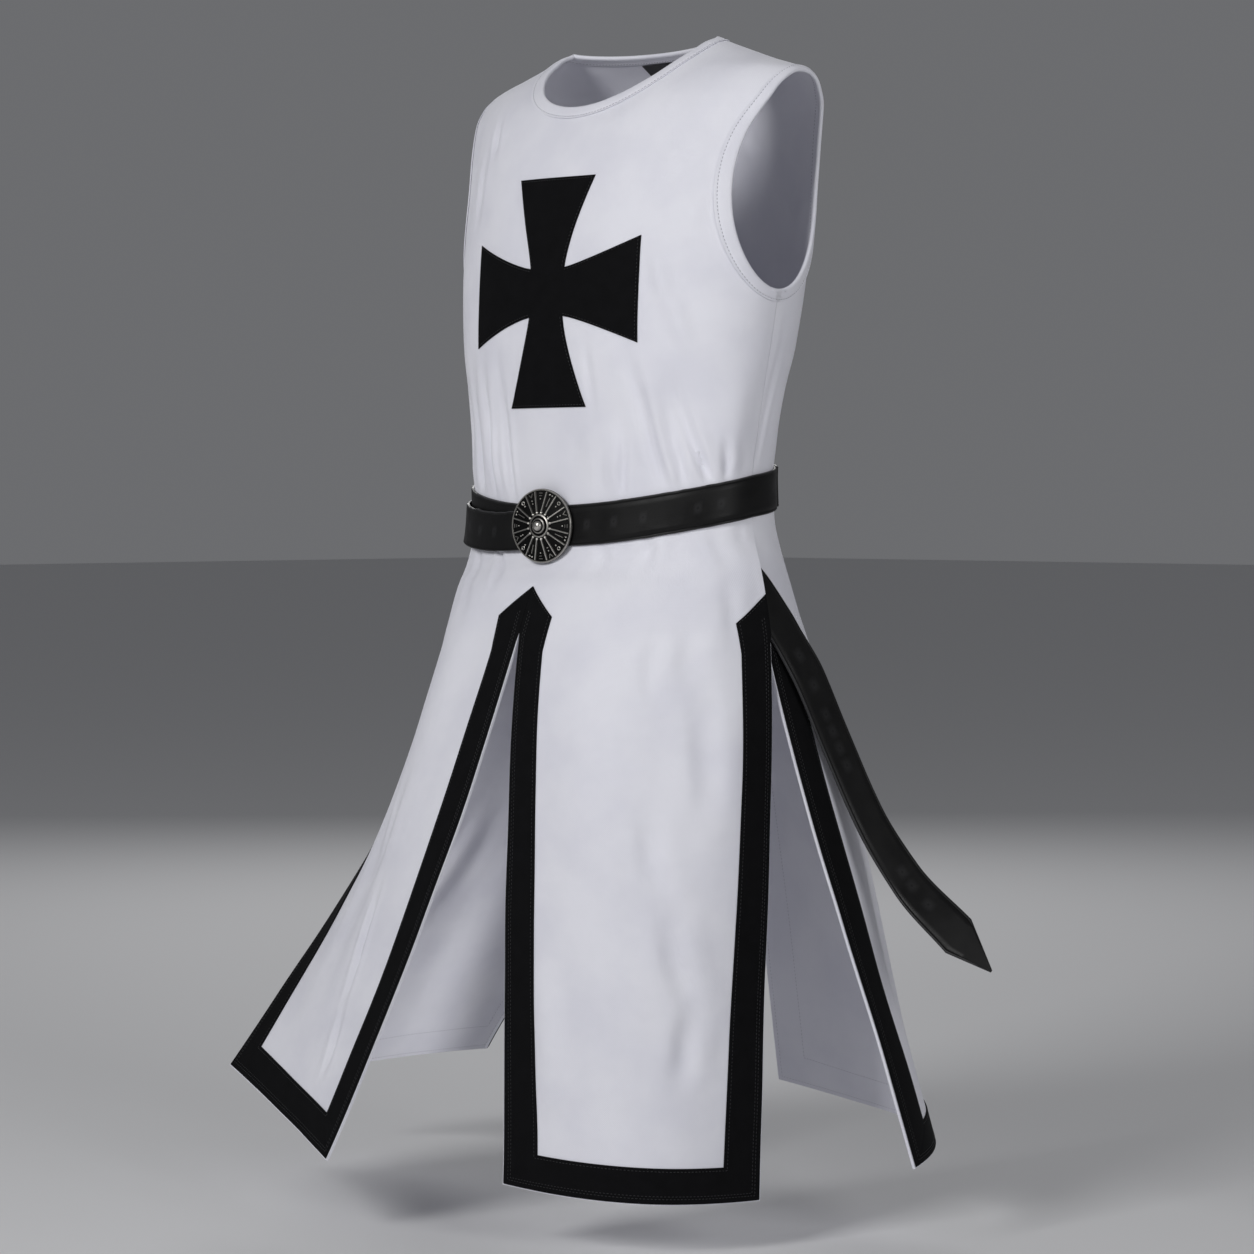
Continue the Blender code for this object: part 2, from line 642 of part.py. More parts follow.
def build_belt(quarters, material):
    """First turn of the belt; its two ends lie behind the buckle."""
    points, normals = waist_ring(quarters, slice(BELT_ROWS[0], BELT_ROWS[-1] + 1))
    points = points.copy()
    points[:, 0, 0] -= BELT_END
    points[:, -1, 0] += BELT_END
    bm, direction = new_sheet()
    sheet(bm, points, normals, direction)
    thicken(bm, direction, BELT_LIFT, LEATHER)
    add_object("belt", bm, material)


def build_belt_wrap(quarters, material):
    """Second turn, from the buckle round the wearer's right side to the back."""
    rows = slice(BELT_ROWS[0], BELT_ROWS[-1] + 1)
    points, normals = waist_ring(quarters, rows)
    end = 2 * COLUMNS + round(WRAP_END * COLUMNS) + 1
    points = points[:, :end].copy()
    normals = normals[:, :end]
    turn = np.arange(end) / COLUMNS
    lower = WRAP_LOWER * np.sin(np.clip(turn / 2.0, 0.0, 1.0) * math.pi) ** WRAP_SAG
    points[:, :, 2] -= lower[None, :]
    points[:, 0, 0] -= WRAP_START
    stand_off = np.array(WRAP_STAND_OFF)[:, None] * lower[None, :] / WRAP_LOWER
    points += normals * stand_off[:, :, None]
    bm, direction = new_sheet()
    sheet(bm, points, normals, direction)
    thicken(bm, direction, WRAP_LIFT, LEATHER)
    add_object("belt_wrap", bm, material)


def side_surface(y, z):
    """x of the body's left side at a y and a height."""
    half, front_y, side_y, back_y = section(z)
    centre_y = front_y if y < side_y else back_y
    share = min(abs((y - side_y) / (centre_y - side_y)), 1.0)
    return half * (1.0 - share ** ROUNDNESS) ** (1.0 / ROUNDNESS)


def build_tail(material):
    """Free end of the belt: out at the left side slit, down over the back panel, to a point."""
    table = np.array(TAIL)
    run = np.concatenate(([0.0], np.cumsum(np.linalg.norm(np.diff(table[:, :3], axis=0), axis=1))))
    steps = np.linspace(0.0, run[-1], TAIL_STEPS)
    columns = [smooth_curve(steps, run, table[:, k]) for k in range(6)]
    points = np.zeros((TAIL_STEPS + len(TAIL_POINT_SHAPE), 5, 3))
    for row in range(TAIL_STEPS):
        x, y, z, slant, lean, free = (column[row] for column in columns)
        slant = math.radians(slant)
        for column, w in enumerate((-1.0, -0.5, 0.0, 0.5, 1.0)):
            across_y = w * BELT_HALF * math.cos(slant)
            across_z = w * BELT_HALF * math.sin(slant)
            here_y = y + across_y
            here_z = z + across_z
            on_body = side_surface(here_y, here_z) + float(np.interp(here_y, TAIL_Y, TAIL_DEPTH)) - LEATHER
            off_body = x + lean * w * BELT_HALF - 0.5 * LEATHER
            points[row, column] = ((1.0 - free) * on_body + free * off_body, here_y, here_z)
    heading = points[TAIL_STEPS - 1, 2] - points[TAIL_STEPS - 2, 2]
    heading /= np.linalg.norm(heading)
    last = points[TAIL_STEPS - 1]
    for row, (reach, narrow) in enumerate(TAIL_POINT_SHAPE):
        points[TAIL_STEPS + row] = last[2] + (last - last[2]) * narrow + heading * TAIL_POINT * reach
    across = np.gradient(points, axis=1)
    down = np.gradient(points, axis=0)
    normals = -np.cross(across, down)
    normals /= np.linalg.norm(normals, axis=2, keepdims=True)
    normals[normals[:, :, 0] < 0.0] *= -1.0
    bm, direction = new_sheet()
    sheet(bm, points, normals, direction)
    thicken(bm, direction, 0.0, LEATHER)
    add_object("belt_tail", bm, material)


def build_buckle(material):
    """Round cast plate: raised rim, shallow dome, ribs that run to a boss in the middle."""
    bm = bmesh.new()
    segments = BUCKLE_RIBS * 4
    rings = []
    for share, height, rib in BUCKLE_PROFILE:
        ring = []
        for spot in range(segments):
            angle = 2.0 * math.pi * spot / segments
            raised = RIB_HEIGHT * rib if spot % 4 in (0, 1) else 0.0
            ring.append(bm.verts.new((share * BUCKLE_RADIUS * math.cos(angle), -height - raised,
                                      share * BUCKLE_RADIUS * math.sin(angle))))
        rings.append(ring)
    for outer, inner in zip(rings, rings[1:]):
        for spot in range(segments):
            after = (spot + 1) % segments
            bm.faces.new((outer[spot], outer[after], inner[after], inner[spot]))
    bm.faces.new(rings[0])
    bm.faces.new(rings[-1])
    bmesh.ops.triangulate(bm, faces=bm.faces[:])
    bmesh.ops.recalc_face_normals(bm, faces=bm.faces[:])
    bmesh.ops.rotate(bm, matrix=Matrix.Rotation(math.radians(BUCKLE_TURN), 3, "Z"), verts=bm.verts[:])
    bmesh.ops.translate(bm, vec=BUCKLE_CENTRE, verts=bm.verts[:])
    add_object("buckle", bm, material, sharp_angle=35.0)


def main():
    clear_scene()
    white = finish("white_cloth", (0.86, 0.86, 0.90), 0.85)
    black = finish("black_trim", (0.010, 0.010, 0.012), 0.90)
    leather = finish("black_leather", (0.020, 0.020, 0.022), 0.45)
    pewter = finish("antique_pewter", (0.18, 0.18, 0.18), 0.40, 1.0)
    label = finish("black_label", (0.015, 0.015, 0.015), 0.70)
    quarters = build_quarters()
    build_panel("front", "front", quarters, white)
    build_panel("back", "back", quarters, white)
    for side, face, _, _, _, _, _ in HEMS:
        hand = "left" if side > 0 else "right"
        build_border(f"trim_{face}_{hand}", side, face, quarters, black)
    build_band("neck_binding", neck_places, 4 * NECK_ROWS, True, white)
    for side, hand in ((1, "left"), (-1, "right")):
        build_band(f"armhole_binding_{hand}", armhole_places(side), 2 * UNDERARM_ROW, True, white)
    build_cross(black)
    build_label(label)
    build_belt(quarters, leather)
    build_belt_wrap(quarters, leather)
    build_tail(leather)
    build_buckle(pewter)


main()
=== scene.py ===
"""Looks of the medieval surcoat: cloth with its creases, borders, bands, cross, stitching,
leather belt and cast buckle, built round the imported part. Metres, +Z up, front towards -Y.
"""
import math

import bmesh
import bpy
import numpy as np
from mathutils import Matrix, Vector


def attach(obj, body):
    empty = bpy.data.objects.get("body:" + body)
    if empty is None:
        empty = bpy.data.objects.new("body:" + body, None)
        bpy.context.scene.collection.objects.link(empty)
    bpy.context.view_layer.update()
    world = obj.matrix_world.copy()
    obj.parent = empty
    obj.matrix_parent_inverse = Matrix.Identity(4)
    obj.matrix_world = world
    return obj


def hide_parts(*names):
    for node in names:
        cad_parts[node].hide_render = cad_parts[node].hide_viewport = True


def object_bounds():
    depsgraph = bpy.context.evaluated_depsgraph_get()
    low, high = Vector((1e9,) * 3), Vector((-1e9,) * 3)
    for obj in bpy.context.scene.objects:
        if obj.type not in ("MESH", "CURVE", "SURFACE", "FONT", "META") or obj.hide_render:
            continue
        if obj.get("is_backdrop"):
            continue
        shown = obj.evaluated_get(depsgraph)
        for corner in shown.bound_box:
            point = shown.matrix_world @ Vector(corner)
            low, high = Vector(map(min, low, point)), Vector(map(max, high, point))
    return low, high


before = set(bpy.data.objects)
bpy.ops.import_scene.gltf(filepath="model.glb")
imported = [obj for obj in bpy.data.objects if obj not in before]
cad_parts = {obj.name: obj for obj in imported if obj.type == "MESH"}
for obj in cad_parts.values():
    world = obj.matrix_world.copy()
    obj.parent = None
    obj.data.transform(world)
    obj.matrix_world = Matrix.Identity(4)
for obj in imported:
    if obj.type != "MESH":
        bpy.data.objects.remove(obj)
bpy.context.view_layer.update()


# Body of the surcoat: front and back in white cotton twill, each cut in one from the
# shoulder to the hem with its two skirt panels and slit up the middle. An inner facing
# is sewn round the skirt's edges. Where the belt gathers it, creases run up and down.
CLOTH = 0.0020
FACING = 0.0005              # the inner facing's step
GAP = 0.0003
NECK_HALF = 0.100
NECK_FRONT_DROP = 0.068
NECK_BACK_DROP = 0.006
SHOULDER_DROP = 0.038
UNDERARM_DROP = 0.250
ARMHOLE_DEPTHS = {"front": 0.062, "back": 0.064}
ARMHOLE_BAND = 0.012
NECK_BAND = 0.012
ROUNDNESS = 2.2
BORDER = 0.035
COLUMNS = 12
BORDER_CELLS = 2
NECK_ROWS = 6
UNDERARM_ROW = 11
BELT_TOP_ROW, BELT_LOW_ROW = 19, 21
PEAK_ROW = 24
SLIT_ROW = 25
SKIRT_ROWS = 16
HEM_ROW = SLIT_ROW + SKIRT_ROWS
FINE = 8                     # cells of this mesh in each of the part's columns
COLUMN_PLACES = np.linspace(0.0, COLUMNS, FINE * COLUMNS + 1)
ROW_PLACES = np.concatenate((np.arange(0.0, HEM_ROW - 1, 0.25),
                             np.linspace(HEM_ROW - 1, HEM_ROW, FINE * BORDER_CELLS + 1)))

# Sections: height, half width, and y at the centre front, side seam and centre back
SECTIONS = (
    (0.000, 0.100, 0.013, 0.013, 0.013),
    (-0.006, 0.115, -0.016, 0.015, 0.038),
    (-0.013, 0.133, -0.026, 0.017, 0.050),
    (-0.024, 0.163, -0.040, 0.019, 0.066),
    (-0.038, 0.204, -0.054, 0.020, 0.082),
    (-0.052, 0.214, -0.068, 0.019, 0.093),
    (-0.068, 0.218, -0.080, 0.018, 0.102),
    (-0.100, 0.214, -0.095, 0.013, 0.112),
    (-0.137, 0.208, -0.107, 0.008, 0.118),
    (-0.200, 0.204, -0.118, -0.002, 0.119),
    (-0.250, 0.199, -0.122, -0.008, 0.115),
    (-0.295, 0.194, -0.124, -0.012, 0.106),
    (-0.340, 0.188, -0.123, -0.016, 0.094),
    (-0.385, 0.182, -0.120, -0.019, 0.083),
    (-0.424, 0.178, -0.118, -0.021, 0.078),
    (-0.466, 0.178, -0.116, -0.021, 0.081),
    (-0.490, 0.181, -0.116, -0.021, 0.090),
    (-0.510, 0.185, -0.121, -0.021, 0.099),
    (-0.532, 0.189, -0.138, -0.020, 0.109),
    (-0.575, 0.197, -0.156, -0.020, 0.127),
    (-0.620, 0.205, -0.170, -0.020, 0.145),
)

# Rows below the underarm: height at the centre front, side and centre back, droop between,
# and the width of the first and last cell
LOWER_ROWS = (
    (-0.240, -0.268, -0.238, 0.000, 0.035, 0.018),
    (-0.267, -0.288, -0.262, 0.000, 0.035, 0.024),
    (-0.295, -0.309, -0.286, 0.000, 0.035, 0.030),
    (-0.325, -0.331, -0.310, 0.000, 0.035, 0.035),
    (-0.357, -0.354, -0.334, 0.000, 0.035, 0.035),
    (-0.389, -0.378, -0.358, 0.000, 0.035, 0.035),
    (-0.421, -0.401, -0.382, 0.000, 0.035, 0.035),
    (-0.453, -0.424, -0.405, 0.000, 0.035, 0.035),
    (-0.473, -0.444, -0.425, 0.000, 0.035, 0.035),
    (-0.493, -0.464, -0.445, 0.000, 0.035, 0.035),
    (-0.506, -0.487, -0.474, 0.002, 0.035, 0.035),
    (-0.519, -0.510, -0.503, 0.012, 0.035, 0.035),
    (-0.532, -0.537, -0.532, 0.028, 0.035, 0.035),
    (-0.575, -0.575, -0.575, 0.018, 0.035, 0.035),
)
CENTRE_HEIGHTS = {
    "front": (-0.068, -0.096, -0.124, -0.152, -0.182, -0.213) + tuple(row[0] for row in LOWER_ROWS),
    "back": (-0.006, -0.020, -0.045, -0.085, -0.145, -0.213) + tuple(row[2] for row in LOWER_ROWS),
}
SIDE_HEIGHTS = (-UNDERARM_DROP,) + tuple(row[1] for row in LOWER_ROWS)
ARMHOLE_TURNS = (0.0, 0.09, 0.18, 0.27, 0.36, 0.45, 0.54, 0.63, 0.72, 0.80, 0.88, 1.0)
FIRST_CELLS = (0.012, 0.012, 0.012, 0.012, 0.012, 0.012, 0.014, 0.018, 0.023, 0.028, 0.033, 0.035)

# Skirt panels: side (+1 is the wearer's left), face, hem corners at the middle and side
# slit, how far the hem bows out, where it bows most, and how far it hangs in before the hem
HEMS = (
    (1, "front", (0.005, -0.186, -1.104), (0.190, -0.023, -1.117), 0.058, 0.00, 0.000),
    (-1, "front", (-0.145, -0.280, -1.088), (-0.380, -0.209, -1.029), -0.003, 0.00, 0.016),
    (1, "back", (0.035, 0.175, -1.040), (0.300, 0.075, -1.085), 0.070, 0.35, 0.000),
    (-1, "back", (-0.270, 0.050, -1.028), (-0.515, 0.041, -1.072), 0.035, 0.00, 0.010),
)

# Largest folds: side, face, place across (0 centre, 1 side), half width, first row, last row, height
FOLDS = (
    (1, "front", 0.30, 0.16, 16, 19.4, 0.0035),
    (1, "front", 0.62, 0.15, 14, 19.2, -0.0045),
    (1, "front", 0.86, 0.12, 14, 19.2, 0.0030),
    (-1, "front", 0.35, 0.16, 16, 19.4, 0.0035),
    (-1, "front", 0.66, 0.15, 14, 19.2, -0.0040),
    (1, "back", 0.30, 0.16, 15, 19.2, 0.0040),
    (1, "back", 0.70, 0.15, 14, 19.2, -0.0040),
    (-1, "back", 0.32, 0.16, 15, 19.2, -0.0040),
    (-1, "back", 0.70, 0.15, 14, 19.2, 0.0040),
    (1, "front", 0.35, 0.18, 21, 36, 0.0050),
    (1, "front", 0.62, 0.16, 21, 34, -0.0040),
    (-1, "front", 0.42, 0.20, 21, 34, 0.0060),
    (-1, "front", 0.56, 0.12, 28, 39, -0.0050),
    (1, "back", 0.30, 0.18, 22, 44, -0.0080),
    (1, "back", 0.55, 0.18, 21, 44, 0.0070),
    (-1, "back", 0.40, 0.18, 22, 44, -0.0080),
    (-1, "back", 0.65, 0.16, 21, 44, 0.0060),
)

# Slight unevenness of hanging cloth: waves across, waves down, start and size
UNEVENNESS = ((38, 11, 0.3, 0.00045), (23, 19, 1.7, 0.0006), (64, 27, 4.1, 0.00022), (12, 8, 2.2, 0.0010))

# Creases end this far from a sewn edge and fade over the next distance
SEWN_EDGE, CREASE_FADE = 0.013, 0.02
BELT_HOLD = 0.006            # distance over which a crease dies under the belt

# How far the wearer's left side slit stands out, by rows, and by columns from the slit
SLIT_ROWS = ((21, 0.0), (22, 0.0005), (23, 0.0034), (24, 0.004), (25, 0.004), (26, 0.004), (27, 0.0035),
             (30, 0.0015), (33, 0.0))
SLIT_COLUMNS = ((0, 1.0), (1, 0.6), (2, 0.3), (3, 0.1), (4, 0.0))

# Creases, in the flat cloth's own metres: face, where each starts and ends (x from the
# centre line, the wearer's left is +; height), half width, height (a trough is negative),
# and which end keeps its depth because the belt holds it there
CREASES = (
    ("front", 0.138, -0.322, 0.178, -0.434, 0.0075, -0.0064, "end"),
    ("front", 0.112, -0.288, 0.139, -0.432, 0.0106, 0.0041, "end"),
    ("front", 0.088, -0.280, 0.137, -0.436, 0.0088, -0.0041, "end"),
    ("front", 0.132, -0.240, 0.174, -0.322, 0.0141, 0.0029, "none"),
    ("front", 0.146, -0.396, 0.153, -0.434, 0.0053, -0.0029, "end"),
    ("front", 0.080, -0.355, 0.081, -0.442, 0.0114, 0.0020, "end"),
    ("front", 0.091, -0.365, 0.090, -0.442, 0.0053, -0.0026, "end"),
    ("front", 0.052, -0.280, 0.060, -0.380, 0.0070, -0.0014, "none"),
    ("front", 0.193, -0.380, 0.193, -0.428, 0.0053, -0.0029, "end"),
    ("front", 0.204, -0.380, 0.203, -0.428, 0.0070, 0.0017, "end"),
    ("front", -0.078, -0.284, -0.053, -0.446, 0.0070, -0.0038, "end"),
    ("front", -0.092, -0.284, -0.081, -0.442, 0.0088, 0.0023, "end"),
    ("front", -0.106, -0.296, -0.083, -0.442, 0.0070, -0.0038, "end"),
    ("front", -0.134, -0.280, -0.116, -0.446, 0.0106, -0.0043, "end"),
    ("front", -0.168, -0.320, -0.160, -0.440, 0.0097, -0.0038, "end"),
    ("front", -0.205, -0.300, -0.200, -0.430, 0.0097, -0.0035, "end"),
    ("front", 0.121, -0.202, 0.145, -0.274, 0.0123, 0.0026, "none"),
    ("front", 0.180, -0.112, 0.112, -0.152, 0.0114, -0.0022, "none"),
    ("front", 0.186, -0.130, 0.150, -0.200, 0.0132, 0.0017, "none"),
    ("front", -0.121, -0.062, -0.111, -0.118, 0.0070, -0.0026, "none"),
    ("front", -0.132, -0.090, -0.128, -0.190, 0.0097, -0.0023, "none"),
    ("front", 0.067, -0.488, 0.067, -0.522, 0.0100, -0.0024, "start"),
    ("front", 0.116, -0.480, 0.114, -0.514, 0.0090, -0.0036, "start"),
    ("front", 0.131, -0.478, 0.130, -0.540, 0.0110, 0.0018, "start"),
    ("front", 0.147, -0.474, 0.145, -0.498, 0.0080, -0.0022, "start"),
    ("front", 0.168, -0.468, 0.215, -0.530, 0.0090, -0.0018, "start"),
    ("front", 0.203, -0.512, 0.232, -0.590, 0.0110, -0.0014, "none"),
    ("front", 0.206, -0.470, 0.208, -0.496, 0.0070, -0.0010, "start"),
    ("front", -0.078, -0.498, -0.056, -0.538, 0.0080, -0.0030, "start"),
    ("front", -0.127, -0.496, -0.096, -0.580, 0.0100, -0.0027, "start"),
    ("front", -0.165, -0.500, -0.176, -0.580, 0.0110, -0.0030, "start"),
    ("front", 0.170, -0.550, 0.214, -0.645, 0.0180, -0.0024, "none"),
    ("front", 0.210, -0.610, 0.218, -0.770, 0.0200, -0.0045, "none"),
    ("front", 0.144, -0.560, 0.170, -0.660, 0.0140, -0.0030, "none"),
    ("front", 0.150, -0.725, 0.180, -0.835, 0.0180, -0.0048, "none"),
    ("front", 0.170, -0.815, 0.207, -0.950, 0.0180, -0.0051, "none"),
    ("front", 0.206, -0.915, 0.184, -1.015, 0.0160, -0.0042, "none"),
    ("front", 0.060, -0.860, 0.052, -1.060, 0.0220, 0.0033, "none"),
    ("front", -0.108, -0.825, -0.086, -0.985, 0.0070, -0.0054, "none"),
    ("front", -0.088, -0.960, -0.068, -1.050, 0.0070, -0.0039, "none"),
    ("front", -0.120, -0.700, -0.140, -0.860, 0.0160, -0.0033, "none"),
    ("back", 0.241, -0.258, 0.224, -0.428, 0.0050, -0.0026, "end"),
    ("back", 0.060, -0.300, 0.050, -0.404, 0.011, -0.0030, "end"),
    ("back", 0.100, -0.250, 0.086, -0.404, 0.012, -0.0034, "end"),
    ("back", 0.022, -0.330, 0.020, -0.402, 0.009, -0.0022, "end"),
    ("back", 0.150, -0.290, 0.140, -0.410, 0.012, -0.0028, "end"),
    ("back", -0.030, -0.300, -0.028, -0.402, 0.010, -0.0028, "end"),
    ("back", -0.075, -0.240, -0.062, -0.404, 0.012, -0.0034, "end"),
    ("back", -0.112, -0.310, -0.104, -0.408, 0.010, -0.0026, "end"),
    ("back", -0.170, -0.280, -0.160, -0.415, 0.013, -0.0030, "end"),
    ("back", 0.150, -0.120, 0.110, -0.200, 0.014, -0.0020, "none"),
    ("back", -0.155, -0.110, -0.110, -0.210, 0.014, -0.0022, "none"),
    ("back", 0.030, -0.050, 0.060, -0.130, 0.012, -0.0014, "none"),
    ("back", -0.040, -0.060, -0.060, -0.150, 0.013, -0.0014, "none"),
    ("back", 0.030, -0.452, 0.034, -0.560, 0.010, -0.0026, "start"),
    ("back", 0.070, -0.454, 0.080, -0.620, 0.012, -0.0030, "start"),
    ("back", 0.112, -0.458, 0.118, -0.540, 0.009, -0.0026, "start"),
    ("back", 0.160, -0.466, 0.176, -0.600, 0.012, -0.0028, "start"),
    ("back", -0.036, -0.462, -0.046, -0.600, 0.012, -0.0030, "start"),
    ("back", -0.082, -0.466, -0.090, -0.560, 0.009, -0.0024, "start"),
    ("back", -0.128, -0.480, -0.146, -0.640, 0.013, -0.0030, "start"),
    ("back", -0.176, -0.486, -0.196, -0.600, 0.011, -0.0026, "start"),
    ("back", 0.120, -0.700, 0.150, -0.900, 0.020, -0.0034, "none"),
    ("back", 0.200, -0.760, 0.230, -1.000, 0.018, -0.0030, "none"),
    ("back", -0.130, -0.700, -0.150, -0.930, 0.020, -0.0034, "none"),
    ("back", -0.210, -0.760, -0.230, -0.980, 0.016, -0.0030, "none"),
)


def smooth_curve(where, knots, values):
    """Monotone cubic curve through rising knots."""
    knots = np.asarray(knots, float)
    values = np.asarray(values, float)
    steps = np.diff(knots)
    rises = np.diff(values) / steps
    slopes = np.zeros_like(values)
    slopes[0] = rises[0]
    slopes[-1] = rises[-1]
    same = rises[:-1] * rises[1:] > 0.0
    inner = np.zeros(len(same))
    inner[same] = 2.0 * rises[:-1][same] * rises[1:][same] / (rises[:-1][same] + rises[1:][same])
    slopes[1:-1] = inner
    where = np.clip(where, knots[0], knots[-1])
    cell = np.clip(np.searchsorted(knots, where) - 1, 0, len(steps) - 1)
    h = steps[cell]
    t = (where - knots[cell]) / h
    rest = 1.0 - t
    return ((1.0 + 2.0 * t) * rest ** 2 * values[cell] + t * rest ** 2 * h * slopes[cell]
            + t ** 2 * (3.0 - 2.0 * t) * values[cell + 1] - t ** 2 * rest * h * slopes[cell + 1])


def running_length(points):
    """Length along a line of points, from its start."""
    return np.concatenate(([0.0], np.cumsum(np.linalg.norm(np.diff(points, axis=0), axis=1))))


# Outlines of the body at every half millimetre of height, at even shares of their length
LEVEL = 0.0005
SHARES = 160
even_shares = np.linspace(0.0, 1.0, SHARES + 1)
levels = -np.arange(0.0, 0.6205, LEVEL)
section_table = np.array(SECTIONS)[::-1]
half_width, front_y, seam_y, back_y = (smooth_curve(levels, section_table[:, 0], section_table[:, k])
                                       for k in (1, 2, 3, 4))
outlines = {}
outline_lengths = {}
for face, centre_y in (("front", front_y), ("back", back_y)):
    angle = np.linspace(0.0, math.pi / 2.0, 181)
    outline_x = half_width[:, None] * np.sin(angle) ** (2.0 / ROUNDNESS)
    outline_y = seam_y[:, None] + (centre_y - seam_y)[:, None] * np.cos(angle) ** (2.0 / ROUNDNESS)
    runs = [running_length(np.stack(pair, axis=1)) for pair in zip(outline_x, outline_y)]
    outline_lengths[face] = np.array([run[-1] for run in runs])
    outlines[face] = np.array([[np.interp(even_shares * run[-1], run, places) for places in (x, y)]
                               for run, x, y in zip(runs, outline_x, outline_y)])


def on_body(side, face, across, z):
    """Points of the outer face: across is 0 at the centre line and 1 at the side seam."""
    across, z = np.broadcast_arrays(np.asarray(across, float), np.asarray(z, float))
    level = np.clip(-z / LEVEL, 0.0, len(levels) - 1.001)
    share = np.clip(across, 0.0, 1.0) * (SHARES - 0.001)
    row, column = level.astype(int), share.astype(int)
    down, over = level - row, share - column
    corner = outlines[face]
    both = [(1.0 - down) * ((1.0 - over) * corner[row, k, column] + over * corner[row, k, column + 1])
            + down * ((1.0 - over) * corner[row + 1, k, column] + over * corner[row + 1, k, column + 1])
            for k in (0, 1)]
    return np.stack((side * both[0], both[1], z), axis=-1)


def outward_on_body(side, face, across, z):
    """Outward directions at places of the outer face."""
    across, z = np.broadcast_arrays(np.asarray(across, float), np.asarray(z, float))
    step = 0.003
    down = on_body(side, face, across, z - step) - on_body(side, face, across, np.minimum(z + step, -LEVEL))
    over = on_body(side, face, across + 0.01, z) - on_body(side, face, across - 0.01, z)
    turned = side if face == "front" else -side
    at_seam = np.array((0.0, 1.0 if face == "front" else -1.0, 0.0))
    over = np.where((across > 0.985)[..., None], at_seam, over)
    over[..., 1] = np.where(across < 0.01, 0.0, over[..., 1])
    outward = np.cross(down, over) * turned
    return outward / np.linalg.norm(outward, axis=-1, keepdims=True)


def across_at(face, z, x=None, y=None):
    """Where on a quarter's outline a given x or y lies."""
    level = min(-z / LEVEL, len(levels) - 1.001)
    row = int(level)
    outline = outlines[face][row] + (level - row) * (outlines[face][row + 1] - outlines[face][row])
    if x is not None:
        return float(np.interp(x, outline[0], even_shares))
    turned = 1.0 if face == "front" else -1.0
    return float(np.interp(turned * y, turned * outline[1], even_shares))


def neck_edge(face, turn, band=0.0):
    """A place on the neck's edge, or a band's width below it; turn is 1 at the shoulder."""
    drop = NECK_FRONT_DROP if face == "front" else NECK_BACK_DROP
    power = 1.1 if face == "front" else 1.2
    share = 1.0 if face == "front" else 0.45
    start = 0.0045 * band / NECK_BAND
    swing = turn * math.pi / 2.0
    z = -start - (drop + share * band - start) * max(math.cos(swing), 0.0) ** power
    return across_at(face, z, x=(NECK_HALF + band) * math.sin(swing)), z


def armhole_edge(face, turn, band=0.0):
    """A place on the armhole's edge, or a band's width outside it; turn runs 0 to 1, top to bottom."""
    top = SHOULDER_DROP - 0.34 * band
    bottom = UNDERARM_DROP + band
    swing = turn * math.pi
    z = -0.5 * (top + bottom) + 0.5 * (bottom - top) * math.cos(swing)
    reach = (ARMHOLE_DEPTHS[face] + band) * math.sin(swing)
    if reach < 1e-6:
        return 1.0, z
    y = float(np.interp(-z / LEVEL, np.arange(len(levels)), seam_y))
    return across_at(face, z, y=y - reach if face == "front" else y + reach), z


def spread_columns(width, first, last):
    """Places of the coarse columns across a row: border cells at both ends, even between."""
    near = np.linspace(0.0, first, BORDER_CELLS + 1)[:-1]
    far = width - np.linspace(last, 0.0, BORDER_CELLS + 1)[1:]
    return np.concatenate((near, np.linspace(first, width - last, COLUMNS - 2 * BORDER_CELLS + 1), far))


def body_row(side, face, row):
    """Points of one row of the body, with each one's place on the flat cloth."""
    lower_rows = np.arange(UNDERARM_ROW + 1, SLIT_ROW + 1)
    if row <= NECK_ROWS:
        near = neck_edge(face, 1.0 - row / NECK_ROWS)
    else:
        heights = CENTRE_HEIGHTS[face]
        near = (0.0, float(smooth_curve(row, np.arange(len(heights)) + NECK_ROWS, heights)))
    if row <= UNDERARM_ROW:
        far = armhole_edge(face, float(smooth_curve(row, np.arange(UNDERARM_ROW + 1), ARMHOLE_TURNS)))
    else:
        far = (1.0, float(smooth_curve(row, np.arange(len(SIDE_HEIGHTS)) + UNDERARM_ROW, SIDE_HEIGHTS)))
    droop = float(np.interp(row, lower_rows, [lower[3] for lower in LOWER_ROWS]))
    first = float(np.interp(row, np.arange(len(FIRST_CELLS)), FIRST_CELLS))
    last = float(np.interp(row, np.concatenate(([UNDERARM_ROW], lower_rows)),
                           [ARMHOLE_BAND] + [lower[5] for lower in LOWER_ROWS]))
    straight = min(max(UNDERARM_ROW + 1 - row, 0.0), 1.0)

    def places(s):
        ease = straight * s + (1.0 - straight) * (1.0 - np.cos(s * math.pi / 2.0))
        return near[0] + (far[0] - near[0]) * s, near[1] + (far[1] - near[1]) * ease

    samples = np.linspace(0.0, 1.0, 121)
    length = running_length(on_body(side, face, *places(samples)))
    wanted = np.interp(COLUMN_PLACES, np.arange(COLUMNS + 1), spread_columns(length[-1], first, last))
    across, z = places(np.interp(wanted, length, samples))
    from_end = np.minimum(COLUMN_PLACES, COLUMNS - COLUMN_PLACES)
    z = z - droop * np.minimum(from_end / BORDER_CELLS, 1.0)
    flat_x = side * across * np.interp(-z / LEVEL, np.arange(len(levels)), outline_lengths[face])
    return on_body(side, face, across, z), np.stack((flat_x, z), axis=-1)


